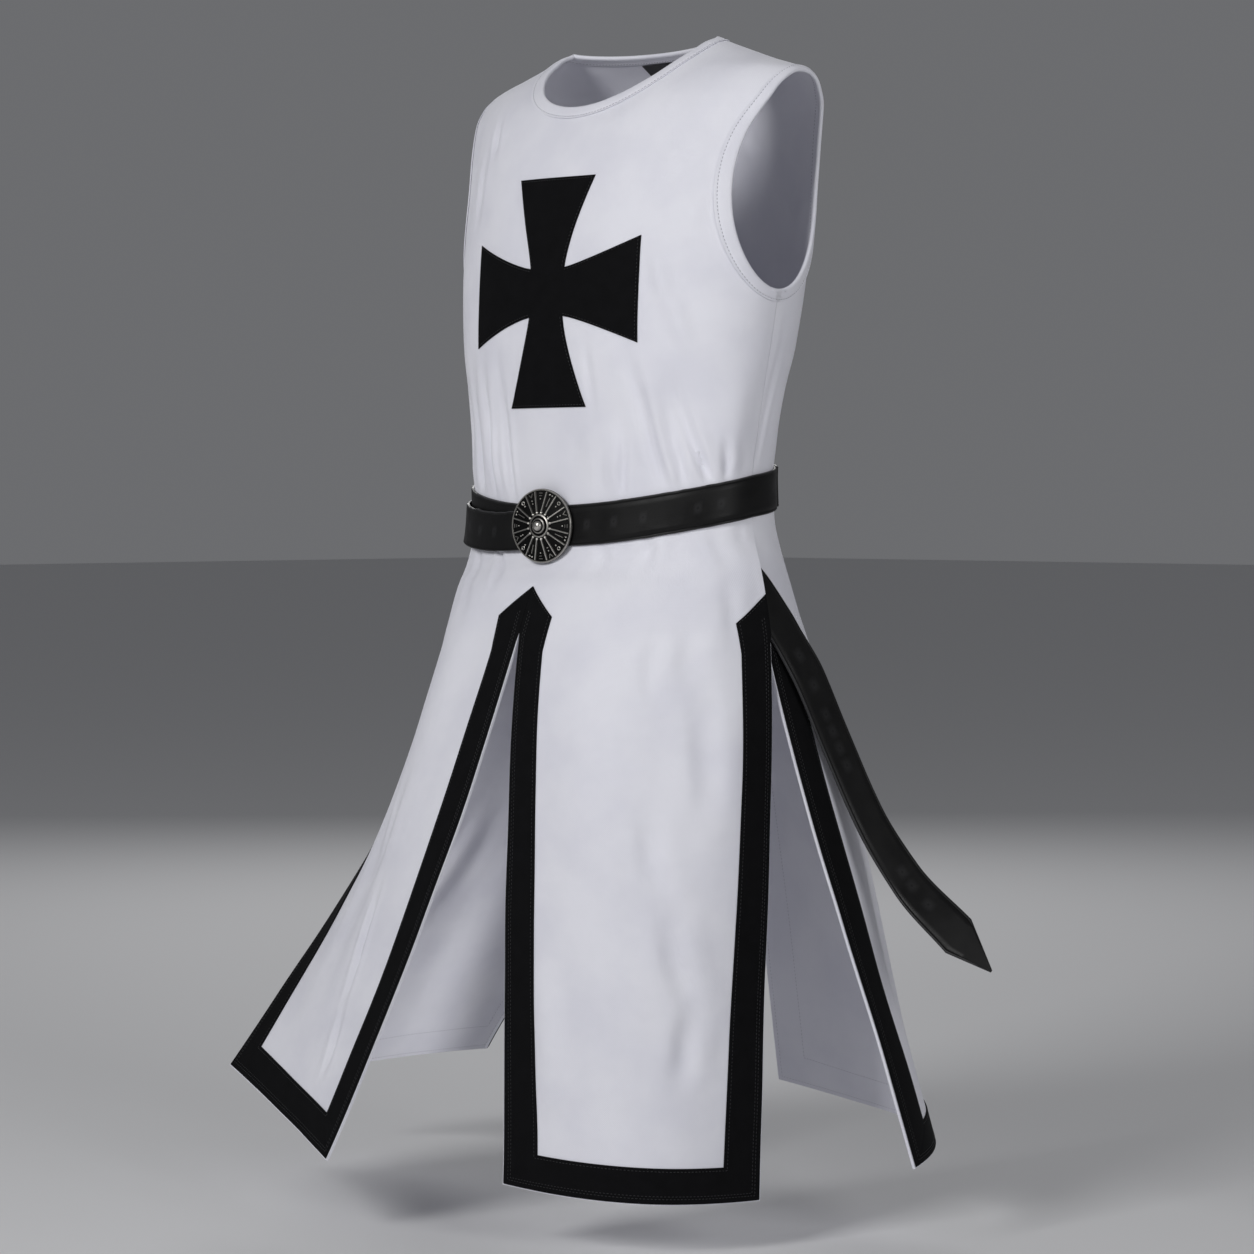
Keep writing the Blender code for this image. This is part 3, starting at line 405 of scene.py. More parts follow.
def skirt_rows(side, face, top, top_flat):
    """Rows of one skirt panel, from its slits' top to its hem, and their places on the flat cloth."""
    hem = next(row for row in HEMS if row[:2] == (side, face))
    middle_corner, side_corner, (bow, skew, kick) = np.array(hem[2]), np.array(hem[3]), hem[4:]
    chord = side_corner - middle_corner
    out = np.array((chord[1], -chord[0], 0.0))
    out /= np.linalg.norm(out)
    if out @ (middle_corner + side_corner) < 0.0:
        out = -out
    width = np.linalg.norm(chord)
    shares = COLUMN_PLACES / COLUMNS
    slope = on_body(side, face, shares, -0.615) - on_body(side, face, shares, -0.575)
    slope /= np.linalg.norm(slope, axis=1, keepdims=True)
    border = BORDER / width
    ends = np.interp(COLUMN_PLACES, np.arange(COLUMNS + 1), spread_columns(1.0, border, border))
    rows = ROW_PLACES[ROW_PLACES > SLIT_ROW] - SLIT_ROW
    columns = []
    for column, s in enumerate(ends):
        bulge = bow * 4.0 * s * (1.0 - s) * (1.0 + skew * (2.0 * s - 1.0))
        end = middle_corner + chord * s + out * bulge
        start = top[column]
        length = np.linalg.norm(end - start)
        straight = start + (end - start) / 3.0
        leave = 0.55 * straight + 0.45 * (start + slope[column] * length / 3.0)
        arrive = start + (end - start) * 2.0 / 3.0 - out * kick
        coarse = np.concatenate((np.linspace(0.0, 1.0 - BORDER / length, SKIRT_ROWS), [1.0]))
        t = np.interp(rows, np.arange(SKIRT_ROWS + 1), coarse)[:, None]
        columns.append((1 - t) ** 3 * start + 3 * (1 - t) ** 2 * t * leave
                       + 3 * (1 - t) * t ** 2 * arrive + t ** 3 * end)
    points = np.stack(columns, axis=1)
    whole = np.concatenate((top[None], points))
    fall = np.cumsum(np.linalg.norm(np.diff(whole, axis=0), axis=2), axis=0)
    reach = np.array([running_length(row) for row in points])
    return points, np.stack((side * reach, top_flat[None, :, 1] - fall), axis=-1)


def outward_directions(points, side, face):
    """Outward directions at the points of a quarter."""
    outward = np.cross(np.gradient(points, axis=1), np.gradient(points, axis=0))
    outward /= np.linalg.norm(outward, axis=2, keepdims=True)
    return outward * (-side if face == "front" else side)


def bump(value):
    """Soft hump, 1 at 0 and 0 at 1 and beyond."""
    return 0.5 + 0.5 * np.cos(math.pi * np.clip(np.abs(value), 0.0, 1.0))


def step_up(value):
    """Soft step from 0 to 1."""
    value = np.clip(value, 0.0, 1.0)
    return value * value * (3.0 - 2.0 * value)


def crease_heights(face, flat):
    """How far the creases lift each place of the flat cloth, with a slight unevenness."""
    x, z = flat[..., 0], flat[..., 1]
    total = np.zeros(x.shape)
    for crease_face, x0, z0, x1, z1, half, height, held in CREASES:
        if crease_face != face:
            continue
        run = math.hypot(x1 - x0, z1 - z0)
        along = ((x - x0) * (x1 - x0) + (z - z0) * (z1 - z0)) / run ** 2
        off = ((x - x0) * (z1 - z0) - (z - z0) * (x1 - x0)) / run
        off = off + 0.10 * half * np.sin(along * 9.0 + 40.0 * x0)
        spread = half * (1.0 + 0.5 * (1.0 - along if held == "end" else along if held == "start" else 0.2))
        fade = bump(2.0 * along - 1.0)
        if held == "end":
            fade = np.where(along > 1.0, bump((along - 1.0) * run / BELT_HOLD), step_up(along / 0.8))
        elif held == "start":
            fade = np.where(along < 0.0, bump(along * run / BELT_HOLD), step_up((1.0 - along) / 0.8))
        total += height * fade * (bump(off / spread) - 0.30 * bump((np.abs(off) - 1.15 * spread) / spread))
    for wave_x, wave_z, turn, size in UNEVENNESS:
        total += size * np.sin(wave_x * x + turn + 1.6 * np.sin(wave_z * z + 2.0 * turn))
    return total


def belt_press(row_places):
    """1 where the belt holds the cloth down, 0 away from it."""
    middle, reach = 0.5 * (BELT_TOP_ROW + BELT_LOW_ROW), 0.9
    return bump(np.maximum(np.abs(row_places - middle) - reach, 0.0) / reach)


def lay_quarters():
    """Points, outward directions and flat places of the four quarters, folds included."""
    quarters = {}
    for side in (1, -1):
        for face in ("front", "back"):
            rows = [body_row(side, face, row) for row in ROW_PLACES[ROW_PLACES <= SLIT_ROW]]
            points, flat = np.array([row[0] for row in rows]), np.array([row[1] for row in rows])
            skirt_points, skirt_flat = skirt_rows(side, face, points[-1], flat[-1])
            points = np.concatenate((points, skirt_points))
            flat = np.concatenate((flat, skirt_flat))
            quarters[side, face] = [points, outward_directions(points, side, face), flat]
    join_directions(quarters)
    for (side, face), (points, outward, flat) in quarters.items():
        lift = np.zeros(points.shape[:2])
        places = COLUMN_PLACES[None, :] / COLUMNS
        for fold_side, fold_face, place, half, first, last, height in FOLDS:
            if (fold_side, fold_face) == (side, face):
                middle = 0.5 * (first + last)
                along = bump((ROW_PLACES[:, None] - middle) / (last - middle))
                lift += height * bump((places - place) / half) * along
        fine = crease_heights(face, flat) * (1.0 - belt_press(ROW_PLACES))[:, None]
        neck = points[ROW_PLACES <= NECK_ROWS, 0]
        from_neck = np.linalg.norm(points[:, :, None] - neck[None, None], axis=3).min(axis=2)
        fine *= step_up((from_neck - SEWN_EDGE) / CREASE_FADE)
        from_far = np.linalg.norm(points - points[:, -1:], axis=2)
        body = (ROW_PLACES <= SLIT_ROW)[:, None]
        armhole = (ROW_PLACES <= UNDERARM_ROW + 1)[:, None]
        fine *= np.where(armhole, step_up((from_far - SEWN_EDGE) / CREASE_FADE),
                         np.where(body, step_up(from_far / 0.012), 1.0))
        fine *= step_up(ROW_PLACES / 1.5)[:, None]
        points += outward * (lift + fine)[:, :, None]
        if side == 1:
            part = np.interp(ROW_PLACES, *zip(*SLIT_ROWS))
            share = np.interp(COLUMNS - COLUMN_PLACES, *zip(*SLIT_COLUMNS))
            points[:, :, 0] += (1.0 if face == "front" else -1.0) * part[:, None] * share[None, :]
        quarters[side, face][1] = outward_directions(points, side, face)
    join_directions(quarters)
    for (side, face), (points, outward, flat) in quarters.items():
        seam = -0.5 * GAP if face == "front" else 0.5 * GAP
        points[0, :, 1] += seam
        points[ROW_PLACES >= UNDERARM_ROW, -1, 1] += seam
    return quarters


def join_directions(quarters):
    """Gives both sides of each seam and centre line one outward direction."""
    def share(first, second, rows, column):
        both = quarters[first][1][rows, column] + quarters[second][1][rows, column]
        both /= np.linalg.norm(both, axis=-1, keepdims=True)
        quarters[first][1][rows, column] = both
        quarters[second][1][rows, column] = both

    centre_rows = (ROW_PLACES >= NECK_ROWS) & (ROW_PLACES <= SLIT_ROW)
    side_rows = (ROW_PLACES >= UNDERARM_ROW) & (ROW_PLACES <= SLIT_ROW)
    for face in ("front", "back"):
        share((1, face), (-1, face), centre_rows, 0)
    for side in (1, -1):
        share((side, "front"), (side, "back"), side_rows, -1)
        share((side, "front"), (side, "back"), 0, slice(None))


def new_cloth():
    """An empty mesh whose points keep an outward direction, a flat place and two thicknesses."""
    bm = bmesh.new()
    bm.verts.layers.float_vector.new("outward")
    bm.verts.layers.float_vector.new("flat")
    bm.verts.layers.float_vector.new("walls")
    return bm


def lay_sheet(bm, points, outward, flat, under, over):
    """Adds a grid through points. Its wall runs from under to over along each direction."""
    count_down, count_across = points.shape[:2]
    layers = bm.verts.layers.float_vector
    directions, places, walls = layers["outward"], layers["flat"], layers["walls"]
    under = np.broadcast_to(under, points.shape[:2])
    over = np.broadcast_to(over, points.shape[:2])
    made = bmesh.ops.create_grid(bm, x_segments=count_across - 1, y_segments=count_down - 1, size=1.0)
    for vert in made["verts"]:
        column = round((vert.co.x + 1.0) / 2.0 * (count_across - 1))
        row = round((vert.co.y + 1.0) / 2.0 * (count_down - 1))
        vert.co = points[row, column]
        vert[directions] = outward[row, column]
        vert[places] = (*flat[row, column], 0.0)
        vert[walls] = (under[row, column], over[row, column], 0.0)


def give_wall(bm, merge=1e-5):
    """Turns the sheets into closed walls and gives them a UV map in metres of flat cloth."""
    layers = bm.verts.layers.float_vector
    directions, places, walls = layers["outward"], layers["flat"], layers["walls"]
    bmesh.ops.remove_doubles(bm, verts=bm.verts[:], dist=merge)
    for vert in bm.verts:
        vert.co = vert.co + vert[directions] * vert[walls].x
    made = bmesh.ops.extrude_face_region(bm, geom=bm.faces[:], use_keep_orig=True)
    for vert in (part for part in made["geom"] if isinstance(part, bmesh.types.BMVert)):
        vert.co = vert.co + vert[directions] * (vert[walls].y - vert[walls].x)
    bmesh.ops.recalc_face_normals(bm, faces=bm.faces[:])
    uv = bm.loops.layers.uv.new("cloth")
    for face in bm.faces:
        for loop in face.loops:
            loop[uv].uv = loop.vert[places].xy


def add_piece(name, bm, material, nodes=(), sharp=50.0):
    mesh = bpy.data.meshes.new(name)
    bm.to_mesh(mesh)
    bm.free()
    for layer in ("outward", "flat", "walls"):
        if layer in mesh.attributes:
            mesh.attributes.remove(mesh.attributes[layer])
    mesh.shade_smooth()
    mesh.set_sharp_from_angle(angle=math.radians(sharp))
    mesh.materials.append(material)
    piece = bpy.data.objects.new(name, mesh)
    bpy.context.scene.collection.objects.link(piece)
    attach(piece, "root")
    if nodes:
        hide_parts(*nodes)
    return piece


def along_grid(points, outward, stops):
    """Points and directions along a line through a grid, with stops given as rows and columns."""
    stops = np.array(stops, float)
    marks = np.linspace(0.0, len(stops) - 1.0, 80 * (len(stops) - 1) + 1)
    row = np.interp(marks, np.arange(len(stops)), stops[:, 0])
    column = np.interp(marks, np.arange(len(stops)), stops[:, 1])
    top = np.minimum(row.astype(int), points.shape[0] - 2)
    near = np.minimum(column.astype(int), points.shape[1] - 2)
    down, over = (row - top)[:, None], (column - near)[:, None]
    line, out = ((1.0 - down) * ((1.0 - over) * grid[top, near] + over * grid[top, near + 1])
                 + down * ((1.0 - over) * grid[top + 1, near] + over * grid[top + 1, near + 1])
                 for grid in (points, outward))
    return line, out


def sew(bm, line, out, lift, pitch=0.0036, long=0.0013, wide=0.00032, high=0.00028):
    """Adds a row of stitches, each a small grain of thread, along a line at a lift above it."""
    run = running_length(line)
    count = int(run[-1] / pitch)
    for place in (np.arange(count) + 0.5) * run[-1] / count:
        spot, before, after, rise = (np.array([np.interp(at, run, grid[:, k]) for k in range(3)])
                                     for at, grid in ((place, line), (place - long, line),
                                                      (place + long, line), (place, out)))
        rise = Vector(rise).normalized()
        ahead = Vector(after - before).normalized()
        beside = rise.cross(ahead).normalized()
        turned = Matrix((ahead * long, beside * wide, rise * high)).transposed().to_4x4()
        turned.translation = Vector(spot) + rise * lift
        bmesh.ops.create_icosphere(bm, subdivisions=1, radius=1.0, matrix=turned)


def thread_finish(name, colour, roughness):
    """Twisted cotton sewing thread."""
    material, tree, shader = new_finish(name)
    shader.inputs["Base Color"].default_value = (*colour, 1.0)
    shader.inputs["Roughness"].default_value = roughness
    place = add_node(tree, "ShaderNodeTexCoord")
    twist = add_node(tree, "ShaderNodeTexWave", {"Scale": 900.0, "Distortion": 0.5},
                     bands_direction="DIAGONAL")
    relief = add_node(tree, "ShaderNodeBump", {"Strength": 0.4, "Distance": 0.0001})
    join(tree, place, "Object", twist, "Vector")
    join(tree, twist, "Fac", relief, "Height")
    join(tree, relief, "Normal", shader, "Normal")
    return material


def new_finish(name):
    """A material with a Principled shader, its node tree and the shader."""
    material = bpy.data.materials.new(name)
    material.use_nodes = True
    return material, material.node_tree, material.node_tree.nodes["Principled BSDF"]


def add_node(tree, kind, values=None, **settings):
    """A node of the finish, with its settings and input values."""
    node = tree.nodes.new(kind)
    for key, value in settings.items():
        setattr(node, key, value)
    for key, value in (values or {}).items():
        node.inputs[key].default_value = value
    return node


def join(tree, source, output, target, entry):
    """Links an output of one node to an entry of another."""
    tree.links.new(source.outputs[output], target.inputs[entry])


def twill_finish(name, colour, shade):
    """White cotton twill: fine diagonal ribs, a soft nap and faint cloudiness."""
    material, tree, shader = new_finish(name)
    shader.inputs["Roughness"].default_value = 0.88
    shader.inputs["Sheen Weight"].default_value = 0.12
    shader.inputs["Sheen Roughness"].default_value = 0.5
    shader.inputs["Specular IOR Level"].default_value = 0.25
    flat = add_node(tree, "ShaderNodeUVMap", uv_map="cloth")
    clouds = add_node(tree, "ShaderNodeTexNoise", {"Scale": 14.0, "Detail": 3.0})
    nap = add_node(tree, "ShaderNodeTexNoise", {"Scale": 420.0, "Detail": 3.0, "Roughness": 0.6})
    ribs = add_node(tree, "ShaderNodeTexWave", {"Scale": 330.0, "Distortion": 1.2, "Detail Scale": 2.0},
                    bands_direction="DIAGONAL")
    blend = add_node(tree, "ShaderNodeMix", data_type="RGBA")
    blend.inputs["A"].default_value = (*shade, 1.0)
    blend.inputs["B"].default_value = (*colour, 1.0)
    stretch = add_node(tree, "ShaderNodeMapRange", {"From Min": 0.36, "From Max": 0.60})
    both = add_node(tree, "ShaderNodeMath", operation="ADD")
    relief = add_node(tree, "ShaderNodeBump", {"Strength": 0.22, "Distance": 0.00025})
    slack = add_node(tree, "ShaderNodeTexNoise", {"Scale": 16.0, "Detail": 2.0, "Roughness": 0.45})
    dimples = add_node(tree, "ShaderNodeBump", {"Strength": 0.55, "Distance": 0.004})
    for texture in (clouds, nap, ribs, slack):
        join(tree, flat, "UV", texture, "Vector")
    join(tree, slack, "Fac", dimples, "Height")
    join(tree, dimples, "Normal", relief, "Normal")
    join(tree, clouds, "Fac", stretch, "Value")
    join(tree, stretch, "Result", blend, "Factor")
    join(tree, blend, "Result", shader, "Base Color")
    join(tree, nap, "Fac", both, 0)
    join(tree, ribs, "Fac", both, 1)
    join(tree, both, "Value", relief, "Height")
    join(tree, relief, "Normal", shader, "Normal")
    return material


white_twill = twill_finish("white_twill", (0.79, 0.79, 0.85), (0.74, 0.74, 0.81))
quarters = lay_quarters()
from_end = np.minimum(COLUMN_PLACES, COLUMNS - COLUMN_PLACES)
border_step = np.where(from_end < BORDER_CELLS + 0.01, 1.0, 0.0)
facing = np.where((ROW_PLACES >= PEAK_ROW)[:, None],
                  np.maximum(border_step[None, :], (ROW_PLACES >= HEM_ROW - 1)[:, None]), 0.0)
for face in ("front", "back"):
    bm = new_cloth()
    for side in (1, -1):
        points, outward, flat = quarters[side, face]
        lay_sheet(bm, points, outward, flat, -CLOTH - FACING * facing, 0.0)
    give_wall(bm)
    add_piece(f"surcoat_{face}", bm, white_twill, [face])

# Rows of white thread hold the facing down on the inside, in mm from the edges
FACING_ROWS = (30.0, 4.0)
THREAD_REST = 0.00005        # how far the middle of a stitch lies above the cloth
# The thread is white; its mid-grey colour is painted shade, standing in for the shadow along each row of
# stitches.
white_thread_painted_shade = thread_finish("white_thread_painted_shade", (0.50, 0.50, 0.56), 0.7)
border_columns = FINE * BORDER_CELLS
hem_rows = border_columns
peak = int(np.argmin(np.abs(ROW_PLACES - PEAK_ROW)))
for side, face, *_ in HEMS:
    points, outward = (grid[peak:] for grid in quarters[side, face][:2])
    low, far = points.shape[0] - 1, points.shape[1] - 1
    bm = bmesh.new()
    for distance in FACING_ROWS:
        inset = distance / (1000.0 * BORDER / border_columns)
        stops = ((4.0, inset), (low - inset, inset), (low - inset, far - inset), (4.0, far - inset))
        line, out = along_grid(points, outward, stops)
        sew(bm, line, -out, CLOTH + FACING + THREAD_REST)
    hand = "left" if side > 0 else "right"
    add_piece(f"facing_stitches_{face}_{hand}", bm, white_thread_painted_shade)


# Borders: 35 mm strips of black velvet, mitred at the corners, sewn round both slits and
# the hem of each skirt panel, with a peak above each slit. The cloth's edge shows beyond
# them as a thin white line. Each is laid on the panel's own points.
VELVET = 0.0011
CLOTH_EDGE = 0.0011          # white edge that shows outside the border
MITRE_GROOVE = 0.0004


def velvet_finish(name, colour):
    """Black cotton velvet: very dark, with a faint dusty sheen and a fine pile."""
    material, tree, shader = new_finish(name)
    shader.inputs["Base Color"].default_value = (*colour, 1.0)
    shader.inputs["Roughness"].default_value = 0.85
    shader.inputs["Sheen Weight"].default_value = 0.018
    shader.inputs["Sheen Roughness"].default_value = 0.35
    shader.inputs["Specular IOR Level"].default_value = 0.1
    flat = add_node(tree, "ShaderNodeUVMap", uv_map="cloth")
    pile = add_node(tree, "ShaderNodeTexNoise", {"Scale": 900.0, "Detail": 2.0})
    clouds = add_node(tree, "ShaderNodeTexNoise", {"Scale": 60.0, "Detail": 4.0})
    blend = add_node(tree, "ShaderNodeMix", data_type="RGBA")
    blend.inputs["A"].default_value = (*(0.6 * c for c in colour), 1.0)
    blend.inputs["B"].default_value = (*(1.5 * c for c in colour), 1.0)
    relief = add_node(tree, "ShaderNodeBump", {"Strength": 0.5, "Distance": 0.0003})
    join(tree, flat, "UV", pile, "Vector")
    join(tree, flat, "UV", clouds, "Vector")
    join(tree, clouds, "Fac", blend, "Factor")
    join(tree, blend, "Result", shader, "Base Color")
    join(tree, pile, "Fac", relief, "Height")
    join(tree, relief, "Normal", shader, "Normal")
    return material


black_velvet = velvet_finish("black_velvet", (0.0034, 0.0034, 0.0040))
black_thread = thread_finish("black_thread", (0.016, 0.016, 0.018), 0.45)
# Rows of stitches on each border, in mm from its outer edge
TOPSTITCH = (6.0, 8.6, 32.0)
for side, face, *_ in HEMS:
    points, outward, flat = (array[peak:].copy() for array in quarters[side, face])
    slit = ROW_PLACES[peak:] > SLIT_ROW
    cell = BORDER / border_columns
    inset = CLOTH_EDGE / cell
    for edge, inner in ((0, 1), (-1, -2)):
        above = 0.5 * GAP / cell
        share = np.where(slit, inset, above)[:, None]
        points[:, edge] += share * (points[:, inner] - points[:, edge])
    points[-1] += inset * (points[-2] - points[-1])
    count_down, count_across = points.shape[:2]
    over = np.full((count_down, count_across), GAP + VELVET)
    for line in ((slice(None), 0), (slice(None), -1), (-1, slice(None)), (0, slice(None)),
                 (slice(0, -hem_rows), border_columns), (slice(0, -hem_rows), -border_columns - 1),
                 (-hem_rows - 1, slice(border_columns, -border_columns))):
        over[line] = GAP + 0.55 * VELVET
    for spot in range(hem_rows):
        over[-1 - spot, spot] -= MITRE_GROOVE
        over[-1 - spot, -1 - spot] -= MITRE_GROOVE
    bm = new_cloth()
    lay_sheet(bm, points, outward, flat, GAP, over)
    bm.verts.ensure_lookup_table()
    inside = []
    for cell_face in bm.faces:
        spots = [vert.index for vert in cell_face.verts]
        column = min(spot % count_across for spot in spots)
        row = min(spot // count_across for spot in spots)
        if border_columns <= column < count_across - 1 - border_columns and row < count_down - 1 - hem_rows:
            inside.append(cell_face)
    bmesh.ops.delete(bm, geom=inside, context="FACES")
    give_wall(bm)
    hand = "left" if side > 0 else "right"
    border = add_piece(f"border_{face}_{hand}", bm, black_velvet, [f"trim_{face}_{hand}"])
    bm = bmesh.new()
    low, far = count_down - 1, count_across - 1
    for distance in TOPSTITCH:
        inset = distance / (1000.0 * cell)
        start = 0.3 if inset > 8.0 else 2.0
        stops = [(start, inset), (low - inset, inset), (low - inset, far - inset), (start, far - inset)]
        if inset > 8.0:
            stops = [(start, 1.0)] + stops + [(start, far - 1.0)]
        line, out = along_grid(points, outward, stops)
        sew(bm, line, out, GAP + VELVET + THREAD_REST)
    add_piece(f"border_stitches_{face}_{hand}", bm, black_thread)


# Neck and armhole bands: the same white twill, folded over each edge and topstitched
# 8 mm in. They wrap from the outer face round the edge to the inner face.
BAND_CLOTH = 0.0008
BAND_LIFT = 0.0004
BAND_STITCH = 0.0080         # distance of the topstitching from the edge
BAND_SINK = 0.0005           # how deep the topstitching pulls the band in


# The topstitching thread is white; its dark grey colour is painted shade, standing in for the shadow in the
# groove the stitches pull into the band.
band_thread_painted_shade = thread_finish("band_thread_painted_shade", (0.26, 0.26, 0.30), 0.7)


def wrap_band(name, edge, outward_of, node):
    """A band folded over an edge. edge gives points for places along it and distances from it."""
    distances = np.array((0.0100, 0.0094, 0.0086, 0.0080, 0.0074, 0.0060, 0.0035, 0.0018, 0.0008))
    sunk = np.array((0.0, 0.0, 0.0003, 0.0006, 0.0003, 0.0, 0.0, 0.0, 0.0))
    outer = [edge(distance) for distance in distances]
    rim = edge(0.0)
    rim_out = outward_of(0.0)
    away = rim - edge(0.004)
    away /= np.linalg.norm(away, axis=1, keepdims=True)
    rows = [point + outward_of(distance) * (BAND_LIFT - low)
            for distance, point, low in zip(distances, outer, sunk)]
    middle = 0.5 * CLOTH
    for turn in np.linspace(-60.0, 60.0, 5):
        swing = math.radians(turn)
        rows.append(rim + away * (middle + BAND_LIFT) * math.cos(swing) - rim_out * middle
                    - rim_out * (middle + BAND_LIFT) * math.sin(swing))
    rows += [point - outward_of(distance) * (CLOTH + BAND_LIFT)
             for distance, point in zip(distances[::-1], outer[::-1])]
    points = np.stack(rows, axis=1)
    points[-1] = points[0]
    around = np.gradient(points, axis=0)
    around[0] = around[-1] = points[1] - points[-2]
    over = np.cross(around, np.gradient(points, axis=1))
    over /= np.linalg.norm(over, axis=2, keepdims=True)
    if np.sum(over[:, 4] * outward_of(0.0060)) < 0.0:
        over = -over
    run = running_length(points[:, 8])
    width = running_length(points[0])
    flat = np.stack(np.broadcast_arrays(run[:, None], width[None, :]), axis=-1)
    bm = new_cloth()
    lay_sheet(bm, points, over, flat, 0.0, BAND_CLOTH)
    give_wall(bm)
    band = add_piece(name, bm, white_twill, [node])
    bm = bmesh.new()
    for lift, side_out in ((BAND_LIFT + BAND_CLOTH - BAND_SINK, 1.0), (CLOTH + BAND_LIFT + BAND_CLOTH, -1.0)):
        sew(bm, edge(BAND_STITCH), side_out * outward_of(BAND_STITCH), lift)
    add_piece(f"{name}_stitches", bm, band_thread_painted_shade)


def neck_line(distance, steps=40):
    """Once round the neck at a distance below its edge: points and their outward directions."""
    order = ((-1, "front", -1), (1, "front", 1), (1, "back", -1), (-1, "back", 1))
    points, outward = [], []
    for side, face, way in order:
        turns = np.linspace(0.0, 1.0, steps + 1)[:-1]
        turns = 1.0 - turns if way < 0 else turns
        for turn in turns:
            across, z = neck_edge(face, turn, distance)
            points.append(on_body(side, face, across, z))
            outward.append(outward_on_body(side, face, across, z))
    return np.array(points + points[:1]), np.array(outward + outward[:1])


def armhole_line(side, distance, steps=56):
    """Once round an armhole at a distance from its edge, from the underarm up the front."""
    points, outward = [], []
    turns_up = np.linspace(1.0, 0.0, steps + 1)
    for face, turns in (("front", turns_up), ("back", turns_up[::-1][1:])):
        for turn in turns:
            across, z = armhole_edge(face, turn, distance)
            points.append(on_body(side, face, across, z))
            outward.append(outward_on_body(side, face, across, z))
    points[-1] = points[0]
    outward[-1] = outward[0]
    return np.array(points), np.array(outward)


wrap_band("neck_band", lambda d: neck_line(d)[0], lambda d: neck_line(d)[1], "neck_binding")
for side, hand in ((1, "left"), (-1, "right")):
    wrap_band(f"armhole_band_{hand}", lambda d: armhole_line(side, d)[0], lambda d: armhole_line(side, d)[1],
              f"armhole_binding_{hand}")


# Cross: black velvet applique with four arms that flare to straight ends, turned under and
# sewn down all round. It lies on the chest and follows the cloth's form.
CROSS_HEIGHT = -0.248
CROSS_REACH = 0.111
CROSS_WAIST = 0.0235
CROSS_END = 0.051
CROSS_CLOTH = 0.0016         # height of its outer face above the chest
CROSS_TURNED = 0.0009        # and at its turned edge
CROSS_STITCH = 0.0024        # distance of the stitches from the cross's edge


def chest_place(a, b):
    """Point, outward direction and flat place on the chest, a across and b up from the cross."""
    side = 1 if a >= 0.0 else -1
    z = CROSS_HEIGHT + b
    width = float(np.interp(-z / LEVEL, np.arange(len(levels)), outline_lengths["front"]))
    across = abs(a) / width
    flat = np.array((a, z))
    outward = outward_on_body(side, "front", across, z)
    return on_body(side, "front", across, z) + outward * crease_heights("front", flat), outward, flat


def arm_half(t):
    """Half width of a cross arm, from its root (0) to its end (1)."""
    return CROSS_WAIST + (CROSS_END - CROSS_WAIST) * t ** 1.25


def arm_place(right, up, reach, beside):
    """Place on the chest for a reach along one arm and a distance beside its middle."""
    return chest_place(right * reach + (beside if up else 0.0), up * reach + (beside if right else 0.0))


cells = 10
bm = new_cloth()
for right, up in ((0, 0), (1, 0), (-1, 0), (0, 1), (0, -1)):
    points = np.zeros((cells + 1, cells + 1, 3))
    outward = np.zeros_like(points)
    flat = np.zeros((cells + 1, cells + 1, 2))
    over = np.full((cells + 1, cells + 1), CROSS_CLOTH)
    for row, column in np.ndindex(cells + 1, cells + 1):
        v = 2.0 * column / cells - 1.0
        t = row / cells
        if (right, up) == (0, 0):
            place = chest_place(CROSS_WAIST * v, CROSS_WAIST * (2.0 * t - 1.0))
        else:
            place = arm_place(right, up, CROSS_WAIST + (CROSS_REACH - CROSS_WAIST) * t, arm_half(t) * v)
        points[row, column], outward[row, column], flat[row, column] = place
        if (right, up) != (0, 0) and (column in (0, cells) or row == cells):
            over[row, column] = CROSS_TURNED
    lay_sheet(bm, points, outward, flat, GAP, over)
give_wall(bm, merge=1e-4)
cross = add_piece("chest_cross", bm, black_velvet, ["cross"])
bm = bmesh.new()
for right, up in ((1, 0), (-1, 0), (0, 1), (0, -1)):
    shares = np.linspace(0.0, 1.0, 25)
    reaches = CROSS_WAIST + (CROSS_REACH - CROSS_STITCH - CROSS_WAIST) * shares
    corner = arm_half(1.0) - CROSS_STITCH
    places = [(reach, arm_half(t) - CROSS_STITCH) for reach, t in zip(reaches, shares)]
    places += [(reaches[-1], beside) for beside in np.linspace(corner, -corner, 25)[1:-1]]
    places += [(reach, CROSS_STITCH - arm_half(t)) for reach, t in zip(reaches[::-1], shares[::-1])]
    found = [arm_place(right, up, *place) for place in places]
    line, out = (np.array([spot[k] for spot in found]) for k in (0, 1))
    sew(bm, line, out, CROSS_CLOTH + THREAD_REST)
add_piece("cross_stitches", bm, black_thread)


# Neck label: a small bare label of black satin, sewn inside the back of the neck.
LABEL_HALF = 0.034
LABEL_TOP = -0.011
LABEL_DEPTH = 0.022
LABEL_REST = 0.0016          # gap between the label and the cloth's inner face
LABEL_CLOTH = 0.0006


def satin_finish(name):
    """Black woven satin with fine cross threads."""
    material, tree, shader = new_finish(name)
    shader.inputs["Base Color"].default_value = (0.010, 0.010, 0.011, 1.0)
    shader.inputs["Roughness"].default_value = 0.45
    flat = add_node(tree, "ShaderNodeUVMap", uv_map="cloth")
    threads = add_node(tree, "ShaderNodeTexWave", {"Scale": 600.0, "Distortion": 0.6}, bands_direction="Y")
    relief = add_node(tree, "ShaderNodeBump", {"Strength": 0.3, "Distance": 0.0001})
    join(tree, flat, "UV", threads, "Vector")
    join(tree, threads, "Fac", relief, "Height")
    join(tree, relief, "Normal", shader, "Normal")
    return material


